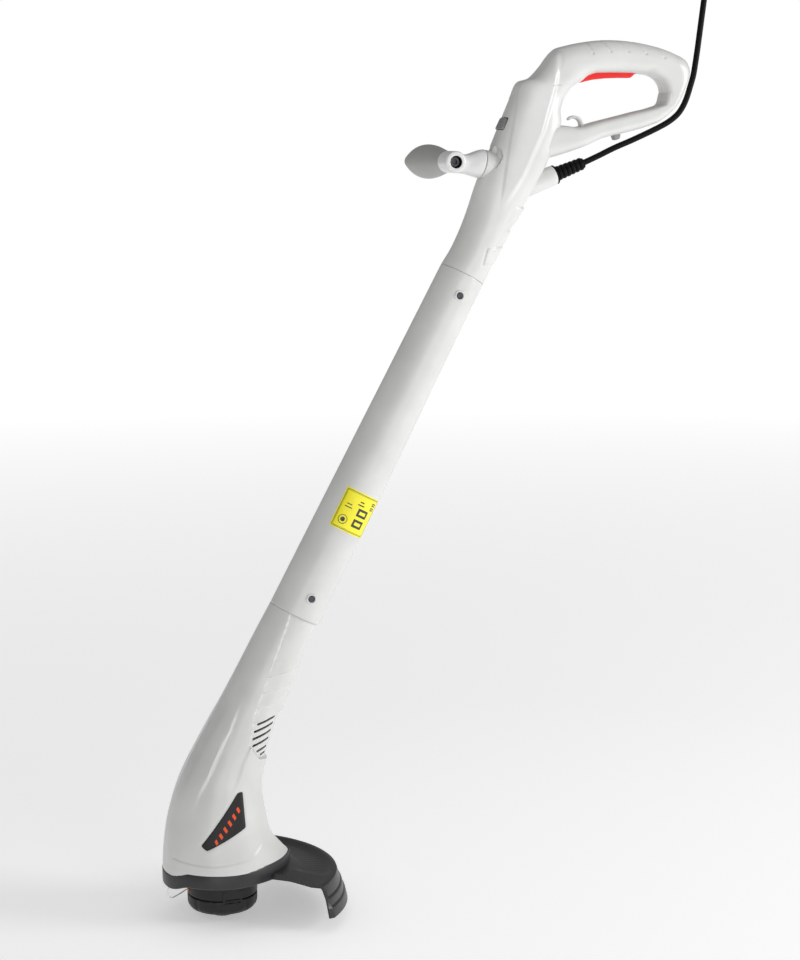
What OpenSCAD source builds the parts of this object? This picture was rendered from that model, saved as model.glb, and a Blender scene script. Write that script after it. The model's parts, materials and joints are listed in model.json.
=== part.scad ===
// Corded string trimmer with a loop handle, a swivelling front handle and a bump-feed line head.
// The origin is the centre of the rear grip, +Z is up along the motor axis, +X points to the user
// and the user's left is -Y.

/* [Shaft] */
// Length of the shaft between its two seams
shaft_length = 413; // [390:1:440]
// Lean of the shaft from upright, in degrees
shaft_tilt = 27.7; // [27:0.1:28.5]
// Outer diameter at the handle end
shaft_top_d = 50.8; // [50.8:0.1:52]
// Outer diameter at the motor end
shaft_foot_d = 59.4; // [59.4:0.1:60.4]
// Wall thickness of the shaft
shaft_wall = 2.2; // [1.8:0.1:2.3]

/* [Housings] */
// Wall thickness of the moulded housings
wall = 2.6; // [2.2:0.1:3]
// Length of the spigots that enter the shaft
spigot_length = 38; // [30:1:45]

/* [Trigger] */
// Width of the trigger
trigger_width = 13; // [11:0.5:13]

/* [Front handle] */
// Diameter of the swivel collar
collar_d = 32; // [30:0.5:33]
// Diameter of the arm's eye
eye_d = 23.6; // [22:0.2:25]
// Thickness of the arm's eye
eye_width = 30; // [28:1:32]
// Greatest diameter of the front grip
front_grip_d = 38; // [36:0.5:40]
// Length of the front grip
front_grip_length = 130; // [120:1:135]

/* [Motor] */
// Diameter of the stator
stator_d = 60; // [56:1:60]
// Height of the stator stack
stator_h = 36; // [32:1:36]
// Diameter of the armature
armature_d = 32; // [30:0.5:32]
// Diameter of the motor shaft
motor_shaft_d = 8; // [7:0.5:8]
// Diameter of the cooling fan
fan_d = 72; // [60:1:72]

/* [Guard] */
// Radius of the base ring round the head
base_r = 65; // [64:0.5:66]
// Radius of the guard's top rim
guard_r = 127; // [120:1:130]
// Radius of the skirt's lower edge
skirt_r = 138; // [130:1:142]
// Depth of the skirt below the housing
skirt_depth = 42; // [38:1:44]

/* [Line head] */
// Diameter of the line head
head_d = 77; // [76:0.5:79]
// Diameter of the bump knob
knob_d = 32; // [28:0.5:32]
// Diameter of the cutting line
line_d = 1.4; // [1.2:0.1:1.6]

/* [Cord] */
// Diameter of the mains cord
cord_d = 6.6; // [6:0.1:7]

/* [Hidden] */
$fn = 64;

near = -1;   // the left half, on the -Y side
far = 1;     // the right half, on the +Y side
fit = 0.05;  // radial clearance of a running fit
gap = 0.3;   // clearance between neighbours
handle_sides = 20;  // sides of the handle's sections
bell_sides = 28;    // sides of the motor housing's sections
boss_fn = 16;
hole_fn = 12;

// Where the handle, the shaft and the head meet.
upper_joint = [-174, 0, -235];
shaft_dir = [sin(shaft_tilt), 0, cos(shaft_tilt)];
lower_joint = upper_joint - shaft_length * shaft_dir;
head_centre = lower_joint + [-85, 0, -275];

// Sections of the handle from the shaft seam up the column, over the grip and down to the rear
// corner: outer x and z, inner x and z, place of the widest point along the section, half width,
// and the squareness of the outer and inner side (2 is an ellipse).
seam_x = shaft_top_d / 2 * cos(shaft_tilt);
seam_z = shaft_top_d / 2 * sin(shaft_tilt);
column_and_grip = [
    [upper_joint.x - seam_x, upper_joint.z + seam_z, upper_joint.x + seam_x,
        upper_joint.z - seam_z, 0.5, shaft_top_d / 2, 2, 2],
    [-186, -207, -141, -227, 0.5, 25.2, 2, 2],
    [-174.5, -184, -128, -203, 0.5, 24.8, 2.1, 2.1],
    [-166.5, -164, -117, -181, 0.5, 24.3, 2.2, 2.2],
    [-157, -137, -104, -160, 0.5, 23.6, 2.4, 2.4],
    [-147.5, -115, -92, -140, 0.5, 22.8, 2.6, 2.6],
    [-138, -92, -77, -113, 0.5, 22, 2.8, 2.8],
    [-128, -69, -62, -72, 0.5, 21, 3, 3],
    [-117, -44, -62.5, -56, 0.5, 20.2, 3, 3],
    [-108.5, -28, -57.5, -43, 0.5, 19.5, 3, 3],
    [-95, -24, -50.5, -33.5, 0.5, 19, 3, 3],
    [-84, -12, -44, -29.5, 0.5, 18.5, 2.8, 2.8],
    [-75, 0.5, -38, -26.5, 0.5, 18, 2.6, 2.8],
    [-68, 8, -31, -21, 0.5, 18, 2.5, 2.8],
    [-55, 12, -23, -18, 0.5, 17.8, 2.4, 2.8],
    [-35, 16, -12, -17.2, 0.5, 17.5, 2.3, 2.8],
    [-10, 18.6, 2, -17, 0.5, 17.3, 2.3, 2.8],
    [15, 18, 15, -17, 0.5, 17.3, 2.3, 2.8],
    [38, 15, 30, -17.5, 0.5, 17.3, 2.3, 2.8],
    [58, 10.5, 42, -18.5, 0.5, 17.3, 2.3, 2.8],
    [74, 5, 51, -21, 0.5, 17.2, 2.3, 2.8],
    [86, -1, 57, -25.5, 0.5, 17, 2.4, 2.8],
    [91.5, -8.5, 60.5, -31, 0.5, 16.8, 2.4, 2.8],
    [92, -18, 62, -37, 0.5, 16.5, 2.5, 2.8],
    [87.5, -30, 62.5, -43, 0.5, 16.3, 2.5, 2.8],
    [83, -41, 60.5, -49, 0.5, 16, 2.5, 2.8]];

// Sections of the lower bar from the rear corner forward into the column.
lower_bar = [
    [85, -36, 62, -38, 0.5, 15.8, 2.5, 2.6],
    [77.5, -51, 58, -50.5, 0.5, 15.8, 2.5, 2.6],
    [69, -60, 51, -53, 0.5, 15.8, 2.5, 2.4],
    [57, -69, 42, -55.5, 0.5, 15.7, 2.6, 2.3],
    [40, -75.5, 28, -58.5, 0.5, 15.6, 2.6, 2.3],
    [15, -82, 5, -64, 0.5, 15.8, 2.6, 2.3],
    [-12, -88, -20, -70, 0.5, 16.5, 2.6, 2.3],
    [-35, -97.5, -42, -75.5, 0.5, 17.5, 2.6, 2.3],
    [-60, -105.5, -60, -74, 0.5, 18.5, 2.6, 2.4],
    [-85, -112, -86, -74, 0.5, 18.5, 2.6, 2.6]];

// Sections of the motor housing from its base up to the shaft seam, measured from the head centre.
foot_x = shaft_foot_d / 2 * cos(shaft_tilt);
foot_z = shaft_foot_d / 2 * sin(shaft_tilt);
motor_bell = [
    [-65, 0, 75, 0, 0.464, 64, 2, 1.6],
    [-65, 6, 76, 6, 0.461, 63.8, 2, 1.6],
    [-64.5, 16, 68, 16, 0.49, 62.5, 2, 1.7],
    [-63, 33, 56, 31, 0.53, 59.5, 2, 1.9],
    [-58.5, 60, 48, 60, 0.55, 55, 2, 2],
    [-50.5, 86.5, 44.5, 86, 0.53, 50, 2, 2],
    [-39, 112.5, 46.5, 109, 0.5, 45, 2, 2],
    [-25.5, 138, 54, 131, 0.5, 41, 2, 2],
    [-4, 176, 65.5, 164, 0.5, 36.5, 2, 2],
    [17.5, 214.5, 78, 192, 0.5, 33, 2, 2],
    [38.5, 253, 93, 227, 0.5, 30.8, 2, 2],
    [85 - foot_x, 275 + foot_z, 85 + foot_x, 275 - foot_z, 0.5, shaft_foot_d / 2, 2, 2]];

// Screw places of the two clamshells: x and z.
handle_screw_places = [[-163, -183], [-152, -152], [-84, -102], [-101, -50], [-62, -5],
    [53, -4], [62, -57], [-20, -79]];
housing_screw_places = [[-52, 27], [49, 26], [40, 68], [-44, 66], [14, 128], [46, 172],
    [64, 208], [82, 240]];

// The trigger's hinge and the switch above it.
trigger_pivot = [32, 0, -12];
plunger_x = -18;
plunger_r = 2;

// The front handle: the collar's mouth, its lean, and the eye's centre in the collar's own frame.
collar_centre = [-151.5, 0, -115.7];
collar_lean = -77.7;
eye_up = -5;
eye_out = 34.2;
spigot_r = 9;

// The lock button on the front face.
button_centre = [-129.5, 0, -72];
button_lean = -66.4;

// The cord stub on the handle's underside.
stub_end = [-66.7, 0, -127.7];
stub_lean = 69.3;
relief_length = 37;

// The route of the mains cord, from the strain relief under the loop, round the rear corner and up.
cord_route = [[-31.8, 0, -114.5], [-16, -1, -107.5], [4, -3, -98], [22, -5, -90.5], [40, -7, -82.5],
    [54, -8, -76], [63, -8, -71.5], [71, -8, -66.5], [78, -8, -60.5], [84, -8, -52], [88.5, -8, -42],
    [92, -8, -31], [95.5, -8, -19], [98, -8, -4], [100, -8, 10], [102, -8, 26], [104, -8, 42],
    [106, -8, 58], [108, -8, 74]];
plug_dir_lean = 7.1;
plug_pin_pitch = 19;
plug_pin_r = 2.4;

// The routes of the inner leads.
inner_cord_route = [[-78.3, 0, -132.1], [-84, 0, -134], [-92, 0, -134], [-98, 0, -124],
    [-98, 0, -106], [-92, 0, -86], [-82, 0, -66], [-74, 0, -44], [-66, 0, -22]];
lead_route = [[-64, -16], [-78, -32], [-92, -56], [-108, -90], [-124, -126], [-140, -160],
    [-158, -200], [-180, -246], [-232, -344], [-286, -447], [-340, -550], [-362, -592],
    [-386, -640], [-406, -680], [-420, -716], [-430, -744]];

// Heights on the motor axis, measured from the head centre.
lower_bearing_z = 9;
fan_z = 20;
stator_z = 40;
commutator_z = 86;
upper_bearing_z = 103;
head_top_z = -19;
head_split_z = -31;
head_bottom_z = -46;
knob_bottom_z = -57;

function unit(v) = v / norm(v);
function signed_power(x, p) = sign(x) * pow(abs(x), p);

// One closed ring of points for a section, drawn in by the inset.
function section_ring(s, inset, sides) =
    let (outer = [s[0], s[1]], inner = [s[2], s[3]], depth = norm(inner - outer),
        across = (inner - outer) / depth, widest = s[4] * depth, centre = outer + across * widest,
        half_width = s[5] - inset)
    [for (i = [0:sides - 1])
        let (turn = 360 * i / sides, c = cos(turn), squareness = c < 0 ? s[6] : s[7],
            reach = (c < 0 ? widest : depth - widest) - inset,
            u = reach * signed_power(c, 2 / squareness),
            v = half_width * signed_power(sin(turn), 2 / squareness))
        [centre.x + across.x * u, v, centre.y + across.y * u]];

// One ring round a point of a route, across its direction.
function route_ring(route, i, r, sides, across) =
    let (ahead = route[min(i + 1, len(route) - 1)], behind = route[max(i - 1, 0)],
        along = unit(ahead - behind), u = unit(cross(along, across)), v = cross(along, u))
    [for (k = [0:sides - 1]) route[i] + r * (cos(360 * k / sides) * u + sin(360 * k / sides) * v)];

function helix(r, length, turns, steps) =
    [for (i = [0:steps]) [r * cos(360 * turns * i / steps), r * sin(360 * turns * i / steps),
        length * i / steps]];

// A closed skin over rings that all have the same number of points.
module skin(rings) {
    sides = len(rings[0]);
    last = len(rings) - 1;
    points = [for (ring = rings) each ring];
    side_faces = [for (k = [0:last - 1]) for (i = [0:sides - 1])
        let (a = k * sides + i, b = k * sides + (i + 1) % sides, c = b + sides, d = a + sides)
        each [[a, d, c], [a, c, b]]];
    first_cap = [for (i = [0:sides - 1]) i];
    last_cap = [for (i = [sides - 1:-1:0]) last * sides + i];
    polyhedron(points, concat([first_cap], side_faces, [last_cap]));
}

module loft(sections, inset, sides) {
    skin([for (s = sections) section_ring(s, inset, sides)]);
}

module tube(route, r, sides, across) {
    skin([for (i = [0:len(route) - 1]) route_ring(route, i, r, sides, across)]);
}

module coil_spring(r, wire_d, length, turns) {
    tube(helix(r, length, turns, ceil(turns * 10)), wire_d / 2, 6, [0, 0, 1]);
}

module at_head() {
    translate(head_centre) children();
}

module at_shaft() {
    translate(lower_joint) rotate([0, shaft_tilt, 0]) children();
}

module at_collar() {
    translate(collar_centre) rotate([0, collar_lean, 0]) children();
}

module at_button() {
    translate(button_centre) rotate([0, button_lean, 0]) children();
}

module at_stub() {
    translate(stub_end) rotate([0, stub_lean, 0]) children();
}

// A cylinder lying along Y between two y values.
module cross_pin(r, y0, y1) {
    translate([0, y0, 0]) rotate([-90, 0, 0]) cylinder(r = r, h = y1 - y0);
}

module ring(r_out, r_in, h) {
    difference() {
        cylinder(r = r_out, h = h);
        translate([0, 0, -1]) cylinder(r = r_in, h = h + 2);
    }
}

// Everything on one side of the parting plane.
module half_space(side) {
    translate([-800, side < 0 ? -200 : 0, -1200]) cube([1600, 200, 1600]);
}

// A cross-head screw along +Y whose head ends at y = 0 and whose shank runs toward -Y.
module clamshell_screw(length) {
    cross_pin(3.2, -2.4, 0);
    cross_pin(1.5, -length, -2.4);
}

// ---- Handle ----

module handle_body(inset) {
    loft(column_and_grip, inset, handle_sides);
    loft(lower_bar, inset, handle_sides);
}

module cord_stub(r, past) {
    at_stub() translate([0, 0, -34]) cylinder(r = r, h = 34 + past, $fn = 32);
}

module handle_spigot(r, past) {
    at_shaft() translate([0, 0, shaft_length - spigot_length - past])
        cylinder(r = r, h = spigot_length + 3 + 4 * past, $fn = 40);
}

// The hollow of the handle, closed by a shoulder at the shaft seam that carries the spigot.
module handle_cavity() {
    difference() {
        handle_body(wall);
        at_shaft() translate([0, 0, shaft_length - 6]) cylinder(r = 40, h = 10);
    }
    handle_spigot(shaft_top_d / 2 - shaft_wall - gap - wall, 1);
    cord_stub(6, 2);
}

// A curl that keeps the loop of an extension lead from pulling the plug out.
module cord_hook(side) {
    translate([-47, 0, -75.5]) intersection() {
        rotate([90, 0, 0]) linear_extrude(7, center = true) union() {
            difference() {
                circle(10.4, $fn = 40);
                circle(7.4, $fn = 40);
                translate([-20, -20]) square([40, 20]);
                translate([-20, -1]) square([14.5, 20]);
            }
            translate([7.4, -4]) square([3, 4.2]);
        }
        translate([-30, side < 0 ? -10 : 0, -30]) cube([60, 10, 60]);
    }
}

// A boss from the parting plane to the outer wall, with a web to stiffen it.
module screw_boss(x, z, side, reach) {
    translate([x, 0, z]) hull() {
        cross_pin(4, side < 0 ? -reach : 0, side < 0 ? 0 : reach, $fn = boss_fn);
        translate([-1, side < 0 ? -reach : reach - 4, -6]) cube([2, 4, 12]);
    }
}

module handle_shell(side) {
    difference() {
        intersection() {
            union() {
                difference() {
                    union() {
                        handle_body(0);
                        cord_stub(10.5, 0);
                        handle_spigot(shaft_top_d / 2 - shaft_wall - gap, 0);
                    }
                    handle_cavity();
                }
                intersection() {
                    union() {
                        for (p = handle_screw_places) screw_boss(p[0], p[1], side, 30);
                        translate([4, -20, 2]) cube([8, 40, 20]);
                        translate([27, -20, -17]) cube([10, 40, 10]);
                        at_button() translate([-8, -20, -20]) cube([16, 40, 3]);
                    }
                    handle_body(wall / 2);
                }
                cord_hook(side);
            }
            half_space(side);
        }
        // trigger slot, swivel socket, lock button and the screw holes
        translate([-46.5, -trigger_width / 2 - gap, -34]) cube([78, trigger_width + 2 * gap, 27]);
        translate(trigger_pivot - [5.5, trigger_width / 2 + gap, 5.5])
            cube([11, trigger_width + 2 * gap, 11]);
        translate(trigger_pivot) cross_pin(1.55, -11, 11, $fn = boss_fn);
        at_collar() translate([0, 0, -40]) cylinder(d = collar_d + 0.1, h = 60, $fn = 48);
        at_button() translate([-7.3, -11.3, -17]) cube([14.6, 22.6, 30]);
        for (p = handle_screw_places) translate([p[0], 0, p[1]]) {
            cross_pin(side < 0 ? 1.6 : 1.9, side < 0 ? -9 : -1, side < 0 ? 1 : 13, $fn = hole_fn);
            if (side > 0) cross_pin(3.6, 10, 40, $fn = boss_fn);
        }
    }
}

module handle_shell_left() {
    color("gainsboro") handle_shell(near);
}

module handle_shell_right() {
    color("gainsboro") handle_shell(far);
}

module handle_screws() {
    color("dimgray") for (p = handle_screw_places)
        translate([p[0], 12.4, p[1]]) clamshell_screw(20);
}

// ---- Trigger and switch ----

module trigger() {
    color("red") difference() {
        union() {
            rotate([90, 0, 0]) linear_extrude(trigger_width, center = true)
                polygon([[-39, -28], [-33, -26.2], [-23, -24.2], [-8, -22.7], [8, -22], [21, -22],
                    [26, -17.6], [32, -16.5], [32, -9], [20, -11.5], [-13, -11.5], [-14, -8],
                    [-22, -8], [-23, -11.5], [-38, -14], [-45, -17.5], [-45, -24]]);
            translate(trigger_pivot) cross_pin(4.8, -trigger_width / 2, trigger_width / 2);
        }
        translate(trigger_pivot) cross_pin(1.5 + fit, -trigger_width, trigger_width);
    }
}

module trigger_pin() {
    color("silver") translate(trigger_pivot) cross_pin(1.5, -10.5, 10.5);
}

module trigger_spring() {
    color("silver") translate([8, 0, -10.7]) coil_spring(3, 0.7, 12, 5);
}

module trigger_switch() {
    color("black") difference() {
        translate([-33, -7, 0]) cube([24, 14, 11.5]);
        translate([plunger_x, 0, -1]) cylinder(r = plunger_r + fit, h = 8.5);
    }
}

module switch_plunger() {
    color("white") translate([plunger_x, 0, -7.6]) cylinder(r = plunger_r, h = 9);
}

module capacitor() {
    color("gold") translate([-92, 5, -38]) cube([16, 7, 10]);
}

// ---- Cord and plug ----

module cord_clamp() {
    color("black") translate([-106, -12, -115]) difference() {
        cube([4.5, 24, 9]);
        for (y = [4, 20]) translate([-1, y, 4.5]) rotate([0, 90, 0]) cylinder(r = 1.8, h = 7);
    }
}

module clamp_screws() {
    color("silver") for (y = [-8, 8]) translate([-101.4, y, -110.5]) rotate([0, -90, 0]) {
        translate([0, 0, -2]) cylinder(r = 3, h = 2);
        cylinder(r = 1.6, h = 9);
    }
}

module strain_relief() {
    color("black") at_stub() rotate_extrude() polygon(concat(
        [[0, -12], [5.8, -12], [5.8, 0.1], [8.6, 0.1], [8.6, 2]],
        [for (i = [0:5]) each [[7.4 - 0.15 * i, 3 + 5.6 * i], [7.4 - 0.15 * i, 6 + 5.6 * i],
            [6 - 0.12 * i, 6.8 + 5.6 * i], [6 - 0.12 * i, 7.8 + 5.6 * i]]],
        [[6.5, relief_length], [0, relief_length]]));
}

module inner_cord() {
    color("black") tube(inner_cord_route, cord_d / 2 - 0.3, 10, [0, 1, 0]);
}

module power_cord() {
    color("black") tube(cord_route, cord_d / 2, 10, [0, 1, 0]);
}

module at_plug() {
    translate(cord_route[len(cord_route) - 1]) rotate([0, plug_dir_lean, 0]) children();
}

// A two-pin contour plug: a ribbed neck that widens into a flat oval face.
module plug_body() {
    color("black") at_plug() {
        translate([0, 0, 0.05]) cylinder(r1 = 5.2, r2 = 7.5, h = 18);
        hull() {
            translate([0, 0, 17]) cylinder(r = 8, h = 2, $fn = 32);
            for (y = [-9.5, 9.5]) translate([0, y, 44]) cylinder(r = 8.5, h = 3, $fn = 32);
        }
        hull() for (y = [-9.5, 9.5]) translate([0, y, 46]) cylinder(r = 10, h = 6, $fn = 32);
    }
}

module plug_pins() {
    color("silver") at_plug() for (y = [-1, 1]) translate([0, y * plug_pin_pitch / 2, 52.05])
        cylinder(r = plug_pin_r, h = 19);
}

module motor_leads() {
    for (y = [-3, 3]) color(y < 0 ? "saddlebrown" : "steelblue")
        tube([for (p = lead_route) [p[0], y, p[1]]], 1.2, 8, [0, 1, 0]);
}

// ---- Front handle ----

module swivel_socket() {
    color("gainsboro") at_collar() translate([0, 0, -17]) difference() {
        cylinder(d = collar_d, h = 17);
        translate([0, 0, -1]) cylinder(r = spigot_r + fit, h = 19);
    }
}

module at_eye() {
    at_collar() translate([eye_up, 0, eye_out]) children();
}

module aux_arm() {
    color("whitesmoke") difference() {
        union() {
            hull() {
                at_collar() translate([0, 0, gap]) cylinder(d = collar_d - 0.6, h = 4, $fn = 48);
                at_eye() cross_pin(eye_d / 2 - 1, -eye_width / 2 + 2, eye_width / 2 - 2, $fn = 48);
            }
            at_eye() cross_pin(eye_d / 2, -eye_width / 2, eye_width / 2);
            at_collar() translate([0, 0, -17]) cylinder(r = spigot_r, h = 18);
        }
        at_eye() cross_pin(6.7, -eye_width, -5);
        at_eye() cross_pin(3 + fit, -eye_width, eye_width);
        at_collar() translate([0, 0, -30]) cylinder(r = 2.5 + fit, h = 43);
    }
}

module swivel_screw() {
    color("silver") at_collar() {
        translate([0, 0, -18.9]) cylinder(r = 11, h = 1.5);
        translate([0, 0, -21.9]) cylinder(r = 4.5, h = 3.1);
        translate([0, 0, -19]) cylinder(r = 2.5, h = 31);
    }
}

module grip_bolt() {
    color("#222222") at_eye() difference() {
        union() {
            cross_pin(5, -10, -5);
            cross_pin(3, -5.5, 75);
        }
        translate([0, -11, 0]) rotate([-90, 0, 0]) cylinder(r = 2.9, h = 4, $fn = 6);
    }
}

module aux_grip() {
    r = front_grip_d / 2;
    l = front_grip_length;
    color("lightgray") at_eye() translate([0, eye_width / 2 + 0.1, 0]) rotate([-90, 0, 0])
        difference() {
            rotate_extrude() polygon([[0, 0], [11.4, 0], [12.3, 0.06 * l], [14.2, 0.2 * l],
                [16.8, 0.36 * l], [r - 0.4, 0.5 * l], [r, 0.58 * l], [r - 0.6, 0.68 * l],
                [16.4, 0.78 * l], [13.4, 0.87 * l], [10.6, 0.94 * l], [8.4, 0.985 * l], [7, l],
                [0, l]]);
            translate([0, 0, -1]) cylinder(r = 3 + fit, h = 62);
        }
}

module lock_button() {
    color("silver") at_button() translate([-7, -11, -7.5]) cube([14, 22, 8.7]);
}

module lock_button_spring() {
    color("silver") at_button() translate([0, 0, -16.6]) coil_spring(4, 0.8, 8.6, 4);
}

// ---- Shaft ----

module shaft_tube() {
    screw_heights = [24, shaft_length - 24];
    color("gainsboro") at_shaft() difference() {
        cylinder(h = shaft_length, d1 = shaft_foot_d, d2 = shaft_top_d, $fn = 96);
        translate([0, 0, -0.01]) cylinder(h = shaft_length + 0.02, d1 = shaft_foot_d - 2 * shaft_wall,
            d2 = shaft_top_d - 2 * shaft_wall, $fn = 96);
        for (z = screw_heights) translate([0, 0, z]) {
            cross_pin(2, -40, 0);
        }
        translate([0, 0, screw_heights[0]]) cross_pin(5.4, -40, -shaft_foot_d / 2 + 1.4);
        translate([0, 0, screw_heights[1]]) cross_pin(5.4, -40, -shaft_top_d / 2 + 1.4);
    }
}

module shaft_screws() {
    color("dimgray") at_shaft() for (p = [[24, shaft_foot_d], [shaft_length - 24, shaft_top_d]])
        translate([0, -p[1] / 2 + 1.4, p[0]]) {
            cross_pin(3.4, -1.3, 0);
            cross_pin(1.9, -0.1, 9);
        }
}

module noise_label() {
    low = 105;
    high = 151;
    r_low = shaft_foot_d / 2 - (shaft_foot_d - shaft_top_d) / 2 * low / shaft_length;
    r_high = shaft_foot_d / 2 - (shaft_foot_d - shaft_top_d) / 2 * high / shaft_length;
    color("yellow") at_shaft() rotate([0, 0, -128]) rotate_extrude(angle = 96, $fn = 96)
        polygon([[r_low + 0.02, low], [r_low + 0.25, low], [r_high + 0.25, high],
            [r_high + 0.02, high]]);
}

// ---- Motor housing ----

// Each vent slot: its start and end along the flank, and the height of its start.
vent_slots = [[33, 54, 163], [29, 51.5, 155.3], [27, 49, 147.5], [27, 46, 140], [32, 43.5, 133],
    [36.5, 42, 128]];

module vent_slot(x0, x1, z0) {
    rise = 0.26;
    hull() {
        translate([x0, 0, z0]) cross_pin(1, -60, 60, $fn = hole_fn);
        translate([x1, 0, z0 + rise * (x1 - x0)]) cross_pin(1, -60, 60, $fn = hole_fn);
    }
}

module housing_spigot(r, past) {
    at_shaft() translate([0, 0, -3 - 4 * past])
        cylinder(r = r, h = spigot_length + 3 + 5 * past, $fn = 40);
}

// The hollow of the motor housing, open at the base and closed by a shoulder at the shaft seam.
module housing_cavity() {
    difference() {
        at_head() loft(motor_bell, wall, bell_sides);
        at_shaft() translate([0, 0, -4]) cylinder(r = 40, h = 10);
    }
    at_head() translate([0, 0, -1]) cylinder(r = base_r - wall, h = 4, $fn = 48);
    housing_spigot(shaft_foot_d / 2 - shaft_wall - 0.7 - wall, 1);
}

module motor_housing(side) {
    difference() {
        intersection() {
            union() {
                difference() {
                    union() {
                        at_head() loft(motor_bell, 0, bell_sides);
                        housing_spigot(shaft_foot_d / 2 - shaft_wall - 0.7, 0);
                    }
                    housing_cavity();
                }
                at_head() intersection() {
                    union() {
                        for (p = housing_screw_places) screw_boss(p[0], p[1], side, 60);
                        for (z = [44, 68]) translate([-80, -80, z]) cube([160, 160, 2.4]);
                    }
                    loft(motor_bell, wall / 2, bell_sides);
                }
            }
            half_space(side);
        }
        at_head() {
            translate([0, 0, 30]) cylinder(d = stator_d + 0.2, h = 80);
            for (i = [0:len(vent_slots) - 1])
                vent_slot(vent_slots[i][0], vent_slots[i][1], vent_slots[i][2]);
            for (p = housing_screw_places) translate([p[0], 0, p[1]]) {
                cross_pin(side < 0 ? 1.6 : 1.9, side < 0 ? -10 : -1, side < 0 ? 1 : 16, $fn = hole_fn);
                if (side > 0) cross_pin(3.6, 15, 80, $fn = boss_fn);
            }
        }
    }
}

module motor_housing_left() {
    color("gainsboro") motor_housing(near);
}

module motor_housing_right() {
    color("gainsboro") motor_housing(far);
}

module housing_screws() {
    color("dimgray") at_head() for (p = housing_screw_places)
        translate([p[0], 17.4, p[1]]) clamshell_screw(26);
}

// A five-sided plate that follows the left flank.
module badge_plate() {
    lower_bell = [for (i = [0:8]) motor_bell[i]];
    color("#2a2a2a") at_head() intersection() {
        difference() {
            loft(lower_bell, -1, bell_sides);
            loft(lower_bell, -0.05, bell_sides);
        }
        rotate([90, 0, 0]) linear_extrude(90)
            polygon([[7, 93], [13, 94], [14.5, 56], [-28.5, 33.5], [-34, 38.5]]);
    }
}

// ---- Motor ----

module stator_core() {
    color("gray") at_head() translate([0, 0, stator_z]) difference() {
        cylinder(d = stator_d, h = stator_h);
        translate([0, 0, -1]) cylinder(r = armature_d / 2 + 0.5, h = stator_h + 2);
        for (a = [0, 90]) rotate([0, 0, 45 + a]) for (s = [-1, 1])
            translate([s * 21, -4.5, -1]) translate([-4, 0, 0]) cube([8, 9, stator_h + 2]);
    }
}

// Two windings whose sides lie in the stator's slots.
module field_coils() {
    color("chocolate") at_head() for (s = [0, 180]) rotate([0, 0, s]) {
        for (z = [stator_z - 6.5, stator_z + stator_h + 0.1]) translate([0, 0, z])
            rotate([0, 0, -50]) rotate_extrude(angle = 100) translate([17.8, 0]) square([6.8, 6.4]);
        for (a = [-45, 45]) rotate([0, 0, a]) translate([18, -3.6, stator_z - 1])
            cube([6, 7.2, stator_h + 2]);
    }
}

module brush_holders() {
    color("#3a3a3a") at_head() for (s = [0, 180]) rotate([0, 0, s]) difference() {
        translate([-6, 13, commutator_z]) cube([12, 20, 12]);
        translate([-3.1, 12, commutator_z + 2.4]) cube([6.2, 18, 7.2]);
    }
}

module carbon_brushes() {
    color("black") at_head() for (s = [0, 180]) rotate([0, 0, s])
        translate([-3, 11.35, commutator_z + 2.5]) cube([6, 12, 7]);
}

module upper_bracket() {
    color("#3a3a3a") at_head() {
        difference() {
            union() {
                translate([0, 0, 99.5]) cylinder(r = 31, h = 3);
                translate([0, 0, 102]) cylinder(r = 12.5, h = 8);
            }
            translate([0, 0, 90]) cylinder(r = 6, h = 30);
            translate([0, 0, upper_bearing_z]) cylinder(r = 9.55, h = 20);
        }
        for (s = [-1, 1]) translate([s * 27.6 - 2.4, -6, stator_z + stator_h + 0.1])
            cube([4.8, 12, 99.6 - stator_z - stator_h]);
    }
}

module bearing(r_out, r_in, h) {
    ring(r_out, r_out - 2, h);
    ring(r_in + 1.8, r_in, h);
    translate([0, 0, 1]) ring(r_out - 2, r_in + 1.8, h - 2);
}

module upper_bearing() {
    color("silver") at_head() translate([0, 0, upper_bearing_z]) bearing(9.5, 3 + fit, 6);
}

module lower_bearing() {
    color("silver") at_head() translate([0, 0, lower_bearing_z])
        bearing(11, motor_shaft_d / 2 + fit, 7);
}

module lower_bracket() {
    color("#3a3a3a") at_head() difference() {
        union() {
            translate([0, 0, 6]) cylinder(r = 56, h = 3);
            translate([0, 0, 8]) cylinder(r = 14, h = 8);
            for (a = [60, 180, 300]) rotate([0, 0, a]) translate([50, 0, 0])
                cylinder(r = 4.5, h = 8);
        }
        translate([0, 0, -1]) cylinder(r = 6.5, h = 30);
        translate([0, 0, lower_bearing_z]) cylinder(r = 11 + fit, h = 20);
        for (a = [60, 180, 300]) rotate([0, 0, a]) translate([50, 0, -1])
            cylinder(r = 1.75, h = 8.5);
        for (a = [0:45:315]) rotate([0, 0, a + 22.5]) translate([33, 0, 5])
            cylinder(r = 8, h = 5);
    }
}

// ---- Rotor ----

module motor_shaft() {
    color("silver") at_head() {
        translate([0, 0, head_split_z - 2]) cylinder(d = motor_shaft_d, h = 132);
        translate([0, 0, 98.9]) cylinder(r = 3, h = 10.5);
    }
}

module armature_core() {
    color("gray") at_head() translate([0, 0, stator_z]) difference() {
        cylinder(d = armature_d, h = stator_h);
        translate([0, 0, -1]) cylinder(d = motor_shaft_d + 0.02, h = stator_h + 2);
        for (i = [0:11]) rotate([0, 0, 30 * i]) translate([11, -0.9, -1])
            cube([8, 1.8, stator_h + 2]);
    }
}

module armature_windings() {
    color("chocolate") at_head() for (z = [stator_z - 6, stator_z + stator_h + 0.05])
        translate([0, 0, z]) rotate_extrude()
            polygon([[5, 0], [13, 0], [15, 2], [15, 5], [13.5, 5.9], [5, 5.9]]);
}

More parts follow.
